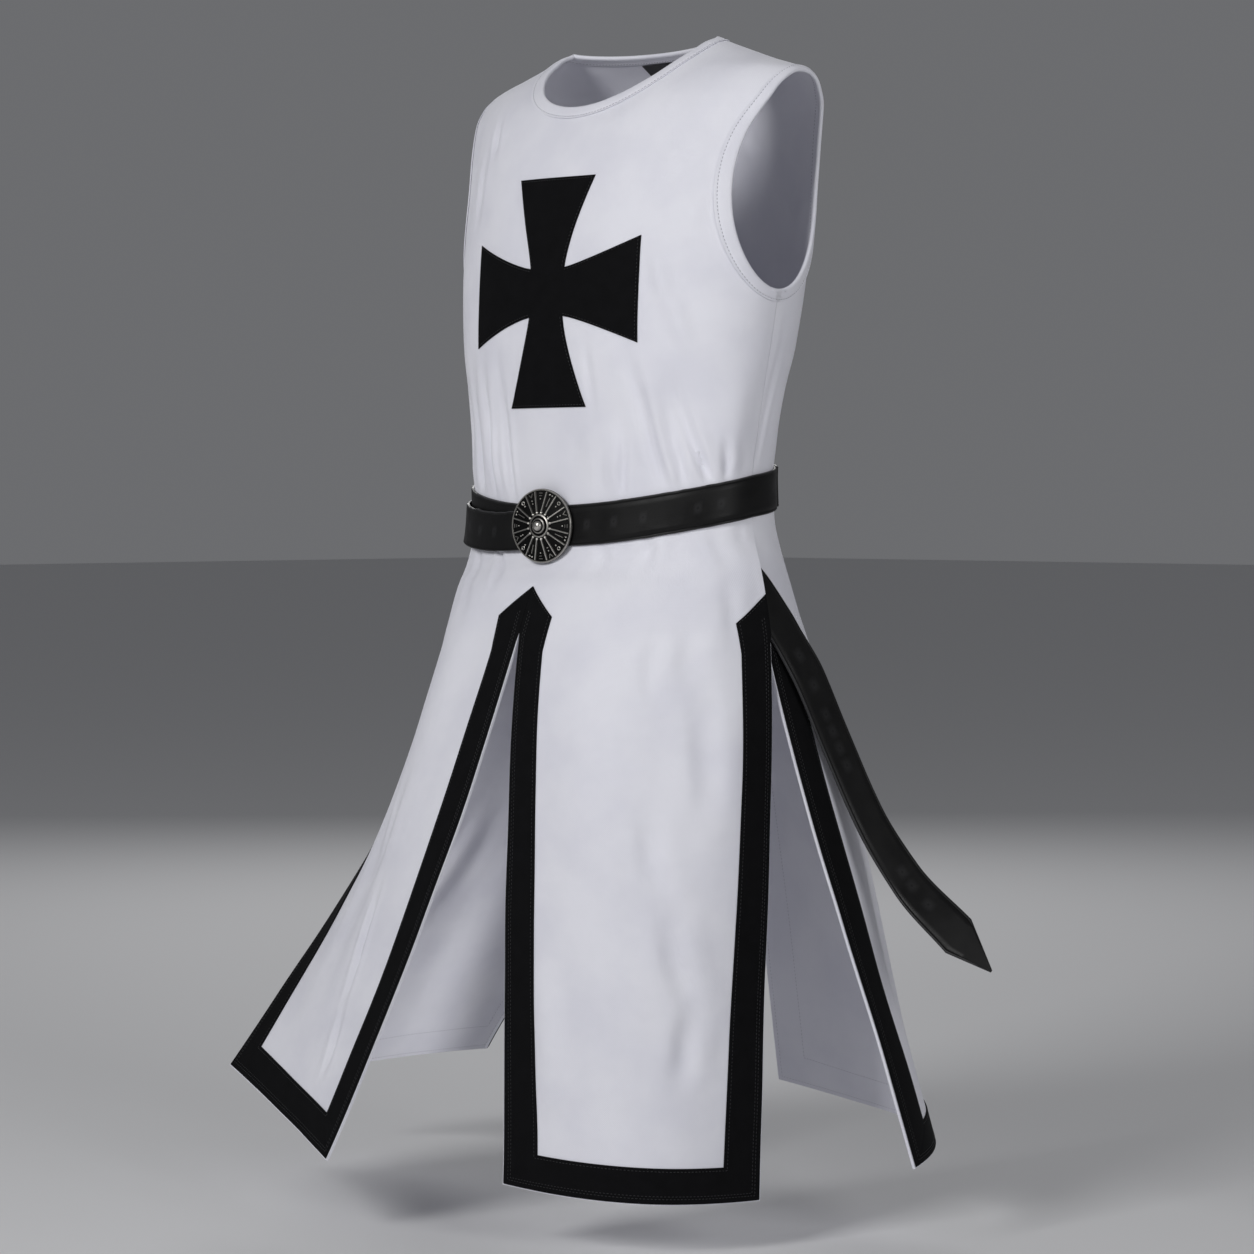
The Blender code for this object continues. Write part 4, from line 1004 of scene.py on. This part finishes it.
bm = new_cloth()
points = np.zeros((7, 25, 3))
outward = np.zeros_like(points)
flat = np.zeros((7, 25, 2))
for row, column in np.ndindex(7, 25):
    x = LABEL_HALF * (column / 12.0 - 1.0)
    z = LABEL_TOP - LABEL_DEPTH * row / 6.0
    side = 1 if x >= 0.0 else -1
    across = across_at("back", z, x=abs(x))
    points[row, column] = on_body(side, "back", across, z)
    outward[row, column] = -outward_on_body(side, "back", across, z)
    flat[row, column] = (x, z)
lay_sheet(bm, points, outward, flat, CLOTH + LABEL_REST, CLOTH + LABEL_REST + LABEL_CLOTH)
give_wall(bm)
label = add_piece("bare_neck_label", bm, satin_finish("black_satin"), ["neck_label"])


# Belt: one long strap of black leather, 40 mm wide, with a creased line along each edge
# and punched holes. It runs round the waist from behind the buckle; its free end makes a
# second turn round the wearer's right side, and its tail comes out at the left side slit.
BELT_HALF = 0.020
LEATHER = 0.0026
BELT_LIFT = 0.0005
WRAP_LIFT = BELT_LIFT + LEATHER + 0.0006
WRAP_START = 0.012
WRAP_LOWER = 0.017
WRAP_STAND_OFF = (0.0016, 0.0032, 0.0055)
WRAP_END = 0.70
HOLE = 0.0023                # radius of a punched hole
HOLE_DEPTH = 0.0018
BELT_HOLES = (0.050, 0.082, 0.112, 0.166, 0.188)            # from the centre front, wearer's left
WRAP_HOLES = (0.056, 0.086, 0.116, 0.146)                   # from the second turn's start
TAIL_HOLES = (0.165, 0.199, 0.229, 0.247, 0.265, 0.283, 0.404, 0.421, 0.445)
# Across the strap: place (-1 to 1) and thickness of the leather there
STRAP_PROFILE = (
    (-1.0, 0.0016), (-0.985, 0.0022), (-0.95, 0.0026), (-0.885, 0.0026), (-0.865, 0.0022), (-0.845, 0.0026),
    (-0.60, 0.0026), (-0.35, 0.0026), (-0.13, 0.0026), (0.0, 0.0026), (0.13, 0.0026), (0.35, 0.0026),
    (0.60, 0.0026), (0.845, 0.0026), (0.865, 0.0022), (0.885, 0.0026), (0.95, 0.0026), (0.985, 0.0022),
    (1.0, 0.0016),
)


def leather_finish(name):
    """Black bridle leather: semi-gloss, with fine pores and faint scuffs; its edges and hole rims are
    lighter, partly worn leather and partly painted highlight.
    """
    material, tree, shader = new_finish(name)
    shader.inputs["Specular IOR Level"].default_value = 0.22
    flat = add_node(tree, "ShaderNodeUVMap", uv_map="cloth")
    split = add_node(tree, "ShaderNodeSeparateXYZ")
    beside = add_node(tree, "ShaderNodeMath", operation="ABSOLUTE")
    # Lighter line along both long edges: partly the worn, burnished edge of the leather and partly a painted
    # highlight on the rounded edge.
    rim = add_node(tree, "ShaderNodeMapRange", {"From Min": 0.0186, "From Max": 0.0198, "To Max": 0.85})
    edge = add_node(tree, "ShaderNodeMix", data_type="RGBA")
    edge.inputs["B"].default_value = (0.050, 0.050, 0.053, 1.0)
    # Attribute that lightens each hole's rim: partly wear of the punched edge, partly painted highlight.
    wear_and_highlight = add_node(tree, "ShaderNodeAttribute", attribute_name="wear_and_highlight")
    brightest = add_node(tree, "ShaderNodeMath", operation="MAXIMUM")
    join(tree, flat, "UV", split, "Vector")
    join(tree, split, "Y", beside, 0)
    join(tree, beside, "Value", rim, "Value")
    join(tree, rim, "Result", brightest, 0)
    join(tree, wear_and_highlight, "Fac", brightest, 1)
    join(tree, brightest, "Value", edge, "Factor")
    pores = add_node(tree, "ShaderNodeTexVoronoi", {"Scale": 750.0}, feature="DISTANCE_TO_EDGE")
    grain = add_node(tree, "ShaderNodeTexNoise", {"Scale": 160.0, "Detail": 6.0, "Roughness": 0.65})
    scuffs = add_node(tree, "ShaderNodeTexNoise", {"Scale": 28.0, "Detail": 5.0, "Roughness": 0.6})
    gloss = add_node(tree, "ShaderNodeMapRange",
                     {"From Min": 0.3, "From Max": 0.7, "To Min": 0.34, "To Max": 0.56})
    blend = add_node(tree, "ShaderNodeMix", data_type="RGBA")
    blend.inputs["A"].default_value = (0.0022, 0.0022, 0.0024, 1.0)
    blend.inputs["B"].default_value = (0.0070, 0.0068, 0.0068, 1.0)
    both = add_node(tree, "ShaderNodeMath", operation="MULTIPLY_ADD")
    both.inputs[1].default_value = 0.6
    relief = add_node(tree, "ShaderNodeBump", {"Strength": 0.35, "Distance": 0.0003})
    for texture in (pores, grain, scuffs):
        join(tree, flat, "UV", texture, "Vector")
    join(tree, grain, "Fac", both, 0)
    join(tree, pores, "Distance", both, 2)
    join(tree, both, "Value", relief, "Height")
    join(tree, relief, "Normal", shader, "Normal")
    join(tree, scuffs, "Fac", gloss, "Value")
    join(tree, gloss, "Result", shader, "Roughness")
    join(tree, scuffs, "Fac", blend, "Factor")
    join(tree, blend, "Result", edge, "A")
    join(tree, edge, "Result", shader, "Base Color")
    return material


def make_strap(name, node, lines, outward, under, holes=()):
    """Builds a strap through lines that run along it from its top edge to its bottom edge.

    holes are distances along the strap of its punched holes, from its start.
    """
    places = np.linspace(-1.0, 1.0, len(lines))
    wanted = np.array([place for place, _ in STRAP_PROFILE])
    thickness = np.array([thick for _, thick in STRAP_PROFILE])
    points = np.array([[smooth_curve(wanted, places, lines[:, column, k]) for k in range(3)]
                       for column in range(lines.shape[1])]).transpose(0, 2, 1)
    facing_out = np.array([[np.interp(wanted, places, outward[:, column, k]) for k in range(3)]
                           for column in range(lines.shape[1])]).transpose(0, 2, 1)
    facing_out /= np.linalg.norm(facing_out, axis=2, keepdims=True)
    middle = len(wanted) // 2
    run = running_length(points[:, middle])
    flat = np.stack(np.broadcast_arrays(run[:, None], wanted[None, :] * BELT_HALF), axis=-1)
    bm = new_cloth()
    lay_sheet(bm, points, facing_out, flat, under, under + thickness[None, :])
    punched = bm.verts.layers.int.new("punched")
    wear_and_highlight = bm.verts.layers.float.new("wear_and_highlight")
    bm.verts.ensure_lookup_table()
    for distance in holes:
        station = int(np.argmin(np.abs(run - distance)))
        centre = bm.verts[station * len(wanted) + middle]
        start = centre.co.copy()
        # The ring of points round each hole is made lighter: partly wear of the cut edge, partly a painted
        # highlight on the rim.
        for vert in {vert for cell in centre.link_faces for vert in cell.verts} - {centre}:
            vert.co = start + (vert.co - start).normalized() * HOLE
            vert[wear_and_highlight] = 0.22
        centre[punched] = 1
    give_wall(bm)
    bm.normal_update()
    directions = bm.verts.layers.float_vector["outward"]
    for centre in [vert for vert in bm.verts if vert[punched]]:
        if centre.normal.dot(centre[directions]) < 0.0:
            continue
        sunk = bmesh.ops.extrude_face_region(bm, geom=list(centre.link_faces))
        bottom = [part for part in sunk["geom"] if isinstance(part, bmesh.types.BMVert)]
        for vert in bottom:
            vert[wear_and_highlight] = 0.0
        bmesh.ops.translate(bm, vec=-centre[directions] * HOLE_DEPTH, verts=bottom)
    bm.verts.layers.int.remove(punched)
    return add_piece(name, bm, black_leather, [node])


black_leather = leather_finish("black_bridle_leather")
belt_rows = np.flatnonzero((ROW_PLACES >= BELT_TOP_ROW) & (ROW_PLACES <= BELT_LOW_ROW))


def waist_ring():
    """Points and directions once round the waist: right front to left front by the back."""
    order = ((-1, "front", 1), (-1, "back", -1), (1, "back", 1), (1, "front", -1))
    rings = []
    for kind in (0, 1):
        pieces = [quarters[side, face][kind][belt_rows][:, ::way] for side, face, way in order]
        pieces = [piece if n == 0 else piece[:, 1:] for n, piece in enumerate(pieces)]
        rings.append(np.concatenate(pieces, axis=1))
    return rings


ring, ring_out = waist_ring()
lines = ring.copy()
lines[:, 0, 0] -= 0.001
lines[:, -1, 0] += 0.001
waist = running_length(lines[1])[-1]
make_strap("belt_strap", "belt", lines, ring_out, BELT_LIFT, [waist - hole for hole in BELT_HOLES])

end = FINE * (2 * COLUMNS + round(WRAP_END * COLUMNS)) + 1
lines = ring[:, :end].copy()
turn = np.arange(end) / (FINE * COLUMNS)
lower = WRAP_LOWER * np.sin(np.clip(turn / 2.0, 0.0, 1.0) * math.pi) ** 0.8
lines[:, :, 2] -= lower[None, :]
lines[:, 0, 0] -= WRAP_START
rows_share = np.linspace(0.0, 2.0, len(lines))
stand_off = np.interp(rows_share, (0, 1, 2), WRAP_STAND_OFF)[:, None] * lower[None, :] / WRAP_LOWER
lines += ring_out[:, :end] * stand_off[:, :, None]
make_strap("belt_second_turn", "belt_wrap", lines, ring_out[:, :end], WRAP_LIFT, WRAP_HOLES)

# Free end: centre x, y, z, slant from plumb in degrees, turn to the side, and how free of the body
TAIL = (
    (0.152, -0.070, -0.466, 22, 0.00, 0.0),
    (0.168, -0.058, -0.490, 28, 0.00, 0.0),
    (0.179, -0.041, -0.515, 36, 0.00, 0.0),
    (0.190, -0.021, -0.540, 39, 0.00, 0.0),
    (0.203, 0.004, -0.577, 36, 0.05, 0.3),
    (0.2115, 0.025, -0.620, 31, 0.00, 1.0),
    (0.218, 0.044, -0.663, 29, 0.00, 1.0),
    (0.229, 0.061, -0.710, 30, 0.00, 1.0),
    (0.247, 0.073, -0.757, 33, 0.00, 1.0),
    (0.284, 0.082, -0.810, 40, 0.08, 1.0),
    (0.350, 0.081, -0.859, 48, 0.24, 1.0),
)
TAIL_POINT = 0.050
TAIL_STEPS = 110
TAIL_Y = (-0.085, -0.055, -0.038, -0.020, 0.015)
TAIL_DEPTH = (-0.0090, -0.0056, -0.0034, 0.0010, 0.0056)


def side_surface(y, z):
    """x of the body's left side at a y and a height."""
    half, front, seam, back = (float(np.interp(-z / LEVEL, np.arange(len(levels)), column))
                               for column in (half_width, front_y, seam_y, back_y))
    centre = front if y < seam else back
    share = min(abs((y - seam) / (centre - seam)), 1.0)
    return half * (1.0 - share ** ROUNDNESS) ** (1.0 / ROUNDNESS)


table = np.array(TAIL)
tail_run = running_length(table[:, :3])
steps = np.linspace(0.0, tail_run[-1], TAIL_STEPS)
columns = [smooth_curve(steps, tail_run, table[:, k]) for k in range(6)]
lines = np.zeros((5, TAIL_STEPS + 8, 3))
for row in range(TAIL_STEPS):
    x, y, z, slant, lean, free = (column[row] for column in columns)
    slant = math.radians(slant)
    for column, w in enumerate((-1.0, -0.5, 0.0, 0.5, 1.0)):
        here_y = y + w * BELT_HALF * math.cos(slant)
        here_z = z + w * BELT_HALF * math.sin(slant)
        on_side = side_surface(here_y, here_z) + float(np.interp(here_y, TAIL_Y, TAIL_DEPTH)) - LEATHER
        off_side = x + lean * w * BELT_HALF - 0.5 * LEATHER
        lines[column, row] = ((1.0 - free) * on_side + free * off_side, here_y, here_z)
heading = lines[2, TAIL_STEPS - 1] - lines[2, TAIL_STEPS - 2]
heading /= np.linalg.norm(heading)
last = lines[:, TAIL_STEPS - 1].copy()
for step in range(1, 9):
    share = step / 8.0
    narrow = (last - last[2]) * (1.0 - 0.94 * share)
    lines[:, TAIL_STEPS - 1 + step] = last[2] + narrow + heading * TAIL_POINT * share
outward = np.cross(np.gradient(lines, axis=0), np.gradient(lines, axis=1))
outward /= np.linalg.norm(outward, axis=2, keepdims=True)
outward[outward[:, :, 0] < 0.0] *= -1.0
make_strap("belt_free_end", "belt_tail", lines, outward, 0.0, TAIL_HOLES)


# Buckle: a round cast plate in antique pewter. A studded rim, sixteen radial ribs with
# beads between them and a boss in the middle stand on a shallow dome.
BUCKLE_CENTRE = Vector((-0.002, -0.1243, -0.473))
BUCKLE_TURN = math.radians(9.0)
BUCKLE_RIBS = 16


def pewter_finish(name):
    """Antique pewter: bright where hands rub the high spots, nearly black in the hollows."""
    material, tree, shader = new_finish(name)
    shader.inputs["Metallic"].default_value = 1.0
    raised = add_node(tree, "ShaderNodeAttribute", attribute_name="raised")
    place = add_node(tree, "ShaderNodeTexCoord")
    pits = add_node(tree, "ShaderNodeTexNoise", {"Scale": 900.0, "Detail": 4.0})
    wear = add_node(tree, "ShaderNodeMath", operation="MULTIPLY_ADD")
    wear.inputs[1].default_value = 0.5
    stretch = add_node(tree, "ShaderNodeMapRange", {"From Min": 0.45, "From Max": 1.15})
    blend = add_node(tree, "ShaderNodeMix", data_type="RGBA")
    blend.inputs["A"].default_value = (0.012, 0.012, 0.012, 1.0)
    blend.inputs["B"].default_value = (0.62, 0.60, 0.56, 1.0)
    gloss = add_node(tree, "ShaderNodeMapRange", {"To Min": 0.55, "To Max": 0.28})
    relief = add_node(tree, "ShaderNodeBump", {"Strength": 0.25, "Distance": 0.0003})
    join(tree, place, "Object", pits, "Vector")
    join(tree, pits, "Fac", wear, 0)
    join(tree, raised, "Fac", wear, 2)
    join(tree, wear, "Value", stretch, "Value")
    join(tree, stretch, "Result", blend, "Factor")
    join(tree, blend, "Result", shader, "Base Color")
    join(tree, stretch, "Result", gloss, "Value")
    join(tree, gloss, "Result", shader, "Roughness")
    join(tree, pits, "Fac", relief, "Height")
    join(tree, relief, "Normal", shader, "Normal")
    return material


# Radius and height of the plate's cross-section, from the back's edge to the top of the
# boss, with how bright the metal is rubbed there
PLATE = (
    (0.0345, 0.0000, 0.0), (0.0360, 0.0010, 0.3), (0.0360, 0.0027, 0.4), (0.0355, 0.0036, 0.8),
    (0.0344, 0.0036, 0.4), (0.0338, 0.0028, 0.0), (0.0300, 0.0034, 0.0), (0.0240, 0.0046, 0.0),
    (0.0160, 0.0058, 0.0), (0.0118, 0.0062, 0.0), (0.0114, 0.0074, 0.5), (0.0100, 0.0078, 0.7),
    (0.0093, 0.0066, 0.0), (0.0079, 0.0066, 0.0), (0.0074, 0.0086, 0.5), (0.0064, 0.0092, 0.7),
    (0.0057, 0.0080, 0.0), (0.0051, 0.0080, 0.0), (0.0047, 0.0104, 0.6), (0.0034, 0.0120, 0.9),
    (0.0014, 0.0126, 1.0),
)
bm = bmesh.new()
raised = bm.verts.layers.float.new("raised")


def tint(verts, value):
    """Marks how bright the metal is rubbed."""
    for vert in verts:
        vert[raised] = value


def dome_height(radius):
    """Height of the plate's face at a radius."""
    return float(np.interp(radius, [step[0] for step in PLATE[9:4:-1]], [step[1] for step in PLATE[9:4:-1]]))


def cast_bar(start, end, half, rise):
    """A raised bar on the plate between two places given as radius and angle."""
    ends = [Vector((radius * math.cos(angle), radius * math.sin(angle), dome_height(radius)))
            for radius, angle in (start, end)]
    ahead = (ends[1] - ends[0]).normalized()
    beside = Vector((0.0, 0.0, 1.0)).cross(ahead)
    for vert in bmesh.ops.create_cube(bm, size=1.0)["verts"]:
        top = vert.co.z > 0.0
        place = ends[1] if vert.co.x > 0.0 else ends[0]
        width = math.copysign(half * (0.6 if top else 1.3), vert.co.y)
        vert.co = place + beside * width + Vector((0.0, 0.0, rise if top else -0.0015))
        vert[raised] = 1.0 if top else 0.1


def cast_bead(radius, angle, size, bright=0.9):
    """A round bead on the plate."""
    place = Vector((radius * math.cos(angle), radius * math.sin(angle), dome_height(radius) + 0.4 * size))
    bead = bmesh.ops.create_uvsphere(bm, u_segments=10, v_segments=6, radius=size,
                                     matrix=Matrix.Translation(place))
    tint(bead["verts"], bright)


def cast_ring(radius, angle, size):
    """A small wire ring on the plate."""
    upright = Matrix.Translation((size, 0.0, 0.0)) @ Matrix.Rotation(math.pi / 2.0, 4, "X")
    wire = bmesh.ops.create_circle(bm, segments=6, radius=0.00042, matrix=upright)["verts"]
    edges = list({edge for vert in wire for edge in vert.link_edges})
    turned = bmesh.ops.spin(bm, geom=wire + edges, cent=(0.0, 0.0, 0.0), axis=(0.0, 0.0, 1.0),
                            angle=2.0 * math.pi, steps=12, use_merge=True)
    ring_verts = list({vert for part in turned["geom_last"] if isinstance(part, bmesh.types.BMVert)
                       for vert in whole_part(part)})
    place = Vector((radius * math.cos(angle), radius * math.sin(angle), dome_height(radius) + 0.0005))
    bmesh.ops.translate(bm, vec=place, verts=ring_verts)
    tint(ring_verts, 0.9)


def whole_part(vert):
    """All the vertices joined to one."""
    seen, waiting = {vert}, [vert]
    while waiting:
        for edge in waiting.pop().link_edges:
            for other in edge.verts:
                if other not in seen:
                    seen.add(other)
                    waiting.append(other)
    return seen


tint(bmesh.ops.create_circle(bm, cap_ends=True, radius=PLATE[0][0], segments=96)["verts"], 0.0)
rim = [edge for edge in bm.edges if edge.is_boundary]
for radius, height, bright in PLATE[1:]:
    grown = bmesh.ops.extrude_edge_only(bm, edges=rim)
    rim = [part for part in grown["geom"] if isinstance(part, bmesh.types.BMEdge)]
    for vert in (part for part in grown["geom"] if isinstance(part, bmesh.types.BMVert)):
        place = vert.co.xy.normalized() * radius
        vert.co = (place.x, place.y, height)
        vert[raised] = bright
bmesh.ops.contextual_create(bm, geom=rim)
sector = 2.0 * math.pi / BUCKLE_RIBS
for spoke in range(BUCKLE_RIBS):
    angle = (spoke + 0.5) * sector
    cast_bar((0.0134, angle), (0.0338, angle + 0.02 * (-1) ** spoke), 0.00085, 0.0015)
    cast_bead(0.0130, angle, 0.0015, 1.0)
    middle = angle + 0.5 * sector
    pattern = spoke % 4
    if pattern == 0:
        cast_bar((0.0328, middle - 0.07), (0.0292, middle), 0.0004, 0.0010)
        cast_bar((0.0292, middle), (0.0328, middle + 0.07), 0.0004, 0.0010)
        cast_bead(0.0258, middle, 0.0008)
        cast_bead(0.0228, middle, 0.0007)
    elif pattern == 1:
        cast_ring(0.0305, middle, 0.0016)
        cast_bead(0.0262, middle, 0.0009)
    elif pattern == 2:
        cast_bead(0.0318, middle - 0.05, 0.0010)
        cast_bead(0.0318, middle + 0.05, 0.0010)
        cast_bar((0.0290, middle), (0.0200, middle), 0.0004, 0.0008)
    else:
        cast_bar((0.0318, middle - 0.06), (0.0318, middle + 0.06), 0.0004, 0.0010)
        cast_bar((0.0292, middle - 0.05), (0.0292, middle + 0.05), 0.0004, 0.0010)
        cast_bead(0.0262, middle, 0.0008)
    for share in (0.0, 0.5):
        cast_bead(0.0350, angle + share * sector, 0.0006, 0.6)
    cast_bead(0.0107, middle, 0.0009, 0.7)
bmesh.ops.recalc_face_normals(bm, faces=bm.faces[:])
stand_up = (Matrix.Translation(BUCKLE_CENTRE) @ Matrix.Rotation(BUCKLE_TURN, 4, "Z")
            @ Matrix.Rotation(math.pi / 2.0, 4, "X"))
bmesh.ops.transform(bm, matrix=stand_up, verts=bm.verts[:])
add_piece("buckle_plate", bm, pewter_finish("antique_pewter"), ["buckle"], sharp=40.0)


# Room: a plain pale floor, soft daylight from a large lamp at the front left and a weaker
# one behind, and the camera at the photograph's angle.
FLOOR_HEIGHT = -1.165
CAMERA_TURN = math.radians(44.85)
CAMERA_DISTANCE = 3.602
CAMERA_HEIGHT = -0.4462
CAMERA_DROP = math.radians(2.03)
CAMERA_ASIDE = -0.0082
FOCAL_PIXELS = 3635.7
PHOTO_SIDE = 1254

bm = bmesh.new()
bmesh.ops.create_grid(bm, x_segments=1, y_segments=1, size=30.0)
bmesh.ops.translate(bm, vec=(0.0, 0.0, FLOOR_HEIGHT), verts=bm.verts[:])
mesh = bpy.data.meshes.new("floor")
bm.to_mesh(mesh)
bm.free()
floor = bpy.data.objects.new("floor", mesh)
bpy.context.scene.collection.objects.link(floor)
pale, tree, shader = new_finish("pale_floor")
shader.inputs["Base Color"].default_value = (0.70, 0.70, 0.71, 1.0)
shader.inputs["Roughness"].default_value = 0.9
mesh.materials.append(pale)
floor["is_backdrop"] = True

world = bpy.data.worlds.new("studio")
world.use_nodes = True
world.node_tree.nodes["Background"].inputs["Color"].default_value = (0.62, 0.63, 0.66, 1.0)
world.node_tree.nodes["Background"].inputs["Strength"].default_value = 0.24
bpy.context.scene.world = world
bpy.context.scene.view_settings.view_transform = "Standard"


def add_softbox(name, place, target, size, power):
    """A square lamp that faces a target."""
    light = bpy.data.lights.new(name, "AREA")
    light.shape = "SQUARE"
    light.size = size
    light.energy = power
    lamp = bpy.data.objects.new(name, light)
    lamp.location = place
    lamp.rotation_euler = (Vector(target) - Vector(place)).to_track_quat("-Z", "Y").to_euler()
    bpy.context.scene.collection.objects.link(lamp)


add_softbox("key", (0.3, -3.7, 1.3), (0.0, 0.0, -0.5), 1.3, 84.0)
add_softbox("side", (3.6, -0.7, 0.5), (0.0, 0.0, -0.6), 1.3, 34.0)
add_softbox("rear", (-2.6, 2.4, 1.2), (0.0, 0.0, -0.5), 1.6, 30.0)

camera_data = bpy.data.cameras.new("camera")
camera_data.sensor_width = 36.0
camera_data.lens = 36.0 * FOCAL_PIXELS / PHOTO_SIDE
camera = bpy.data.objects.new("camera", camera_data)
aside = Vector((math.cos(CAMERA_TURN), math.sin(CAMERA_TURN), 0.0)) * CAMERA_ASIDE
camera.location = aside + Vector((CAMERA_DISTANCE * math.sin(CAMERA_TURN),
                                  -CAMERA_DISTANCE * math.cos(CAMERA_TURN), CAMERA_HEIGHT))
camera.rotation_euler = (math.pi / 2.0 - CAMERA_DROP, 0.0, CAMERA_TURN)
bpy.context.scene.collection.objects.link(camera)
bpy.context.scene.camera = camera

low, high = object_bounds()
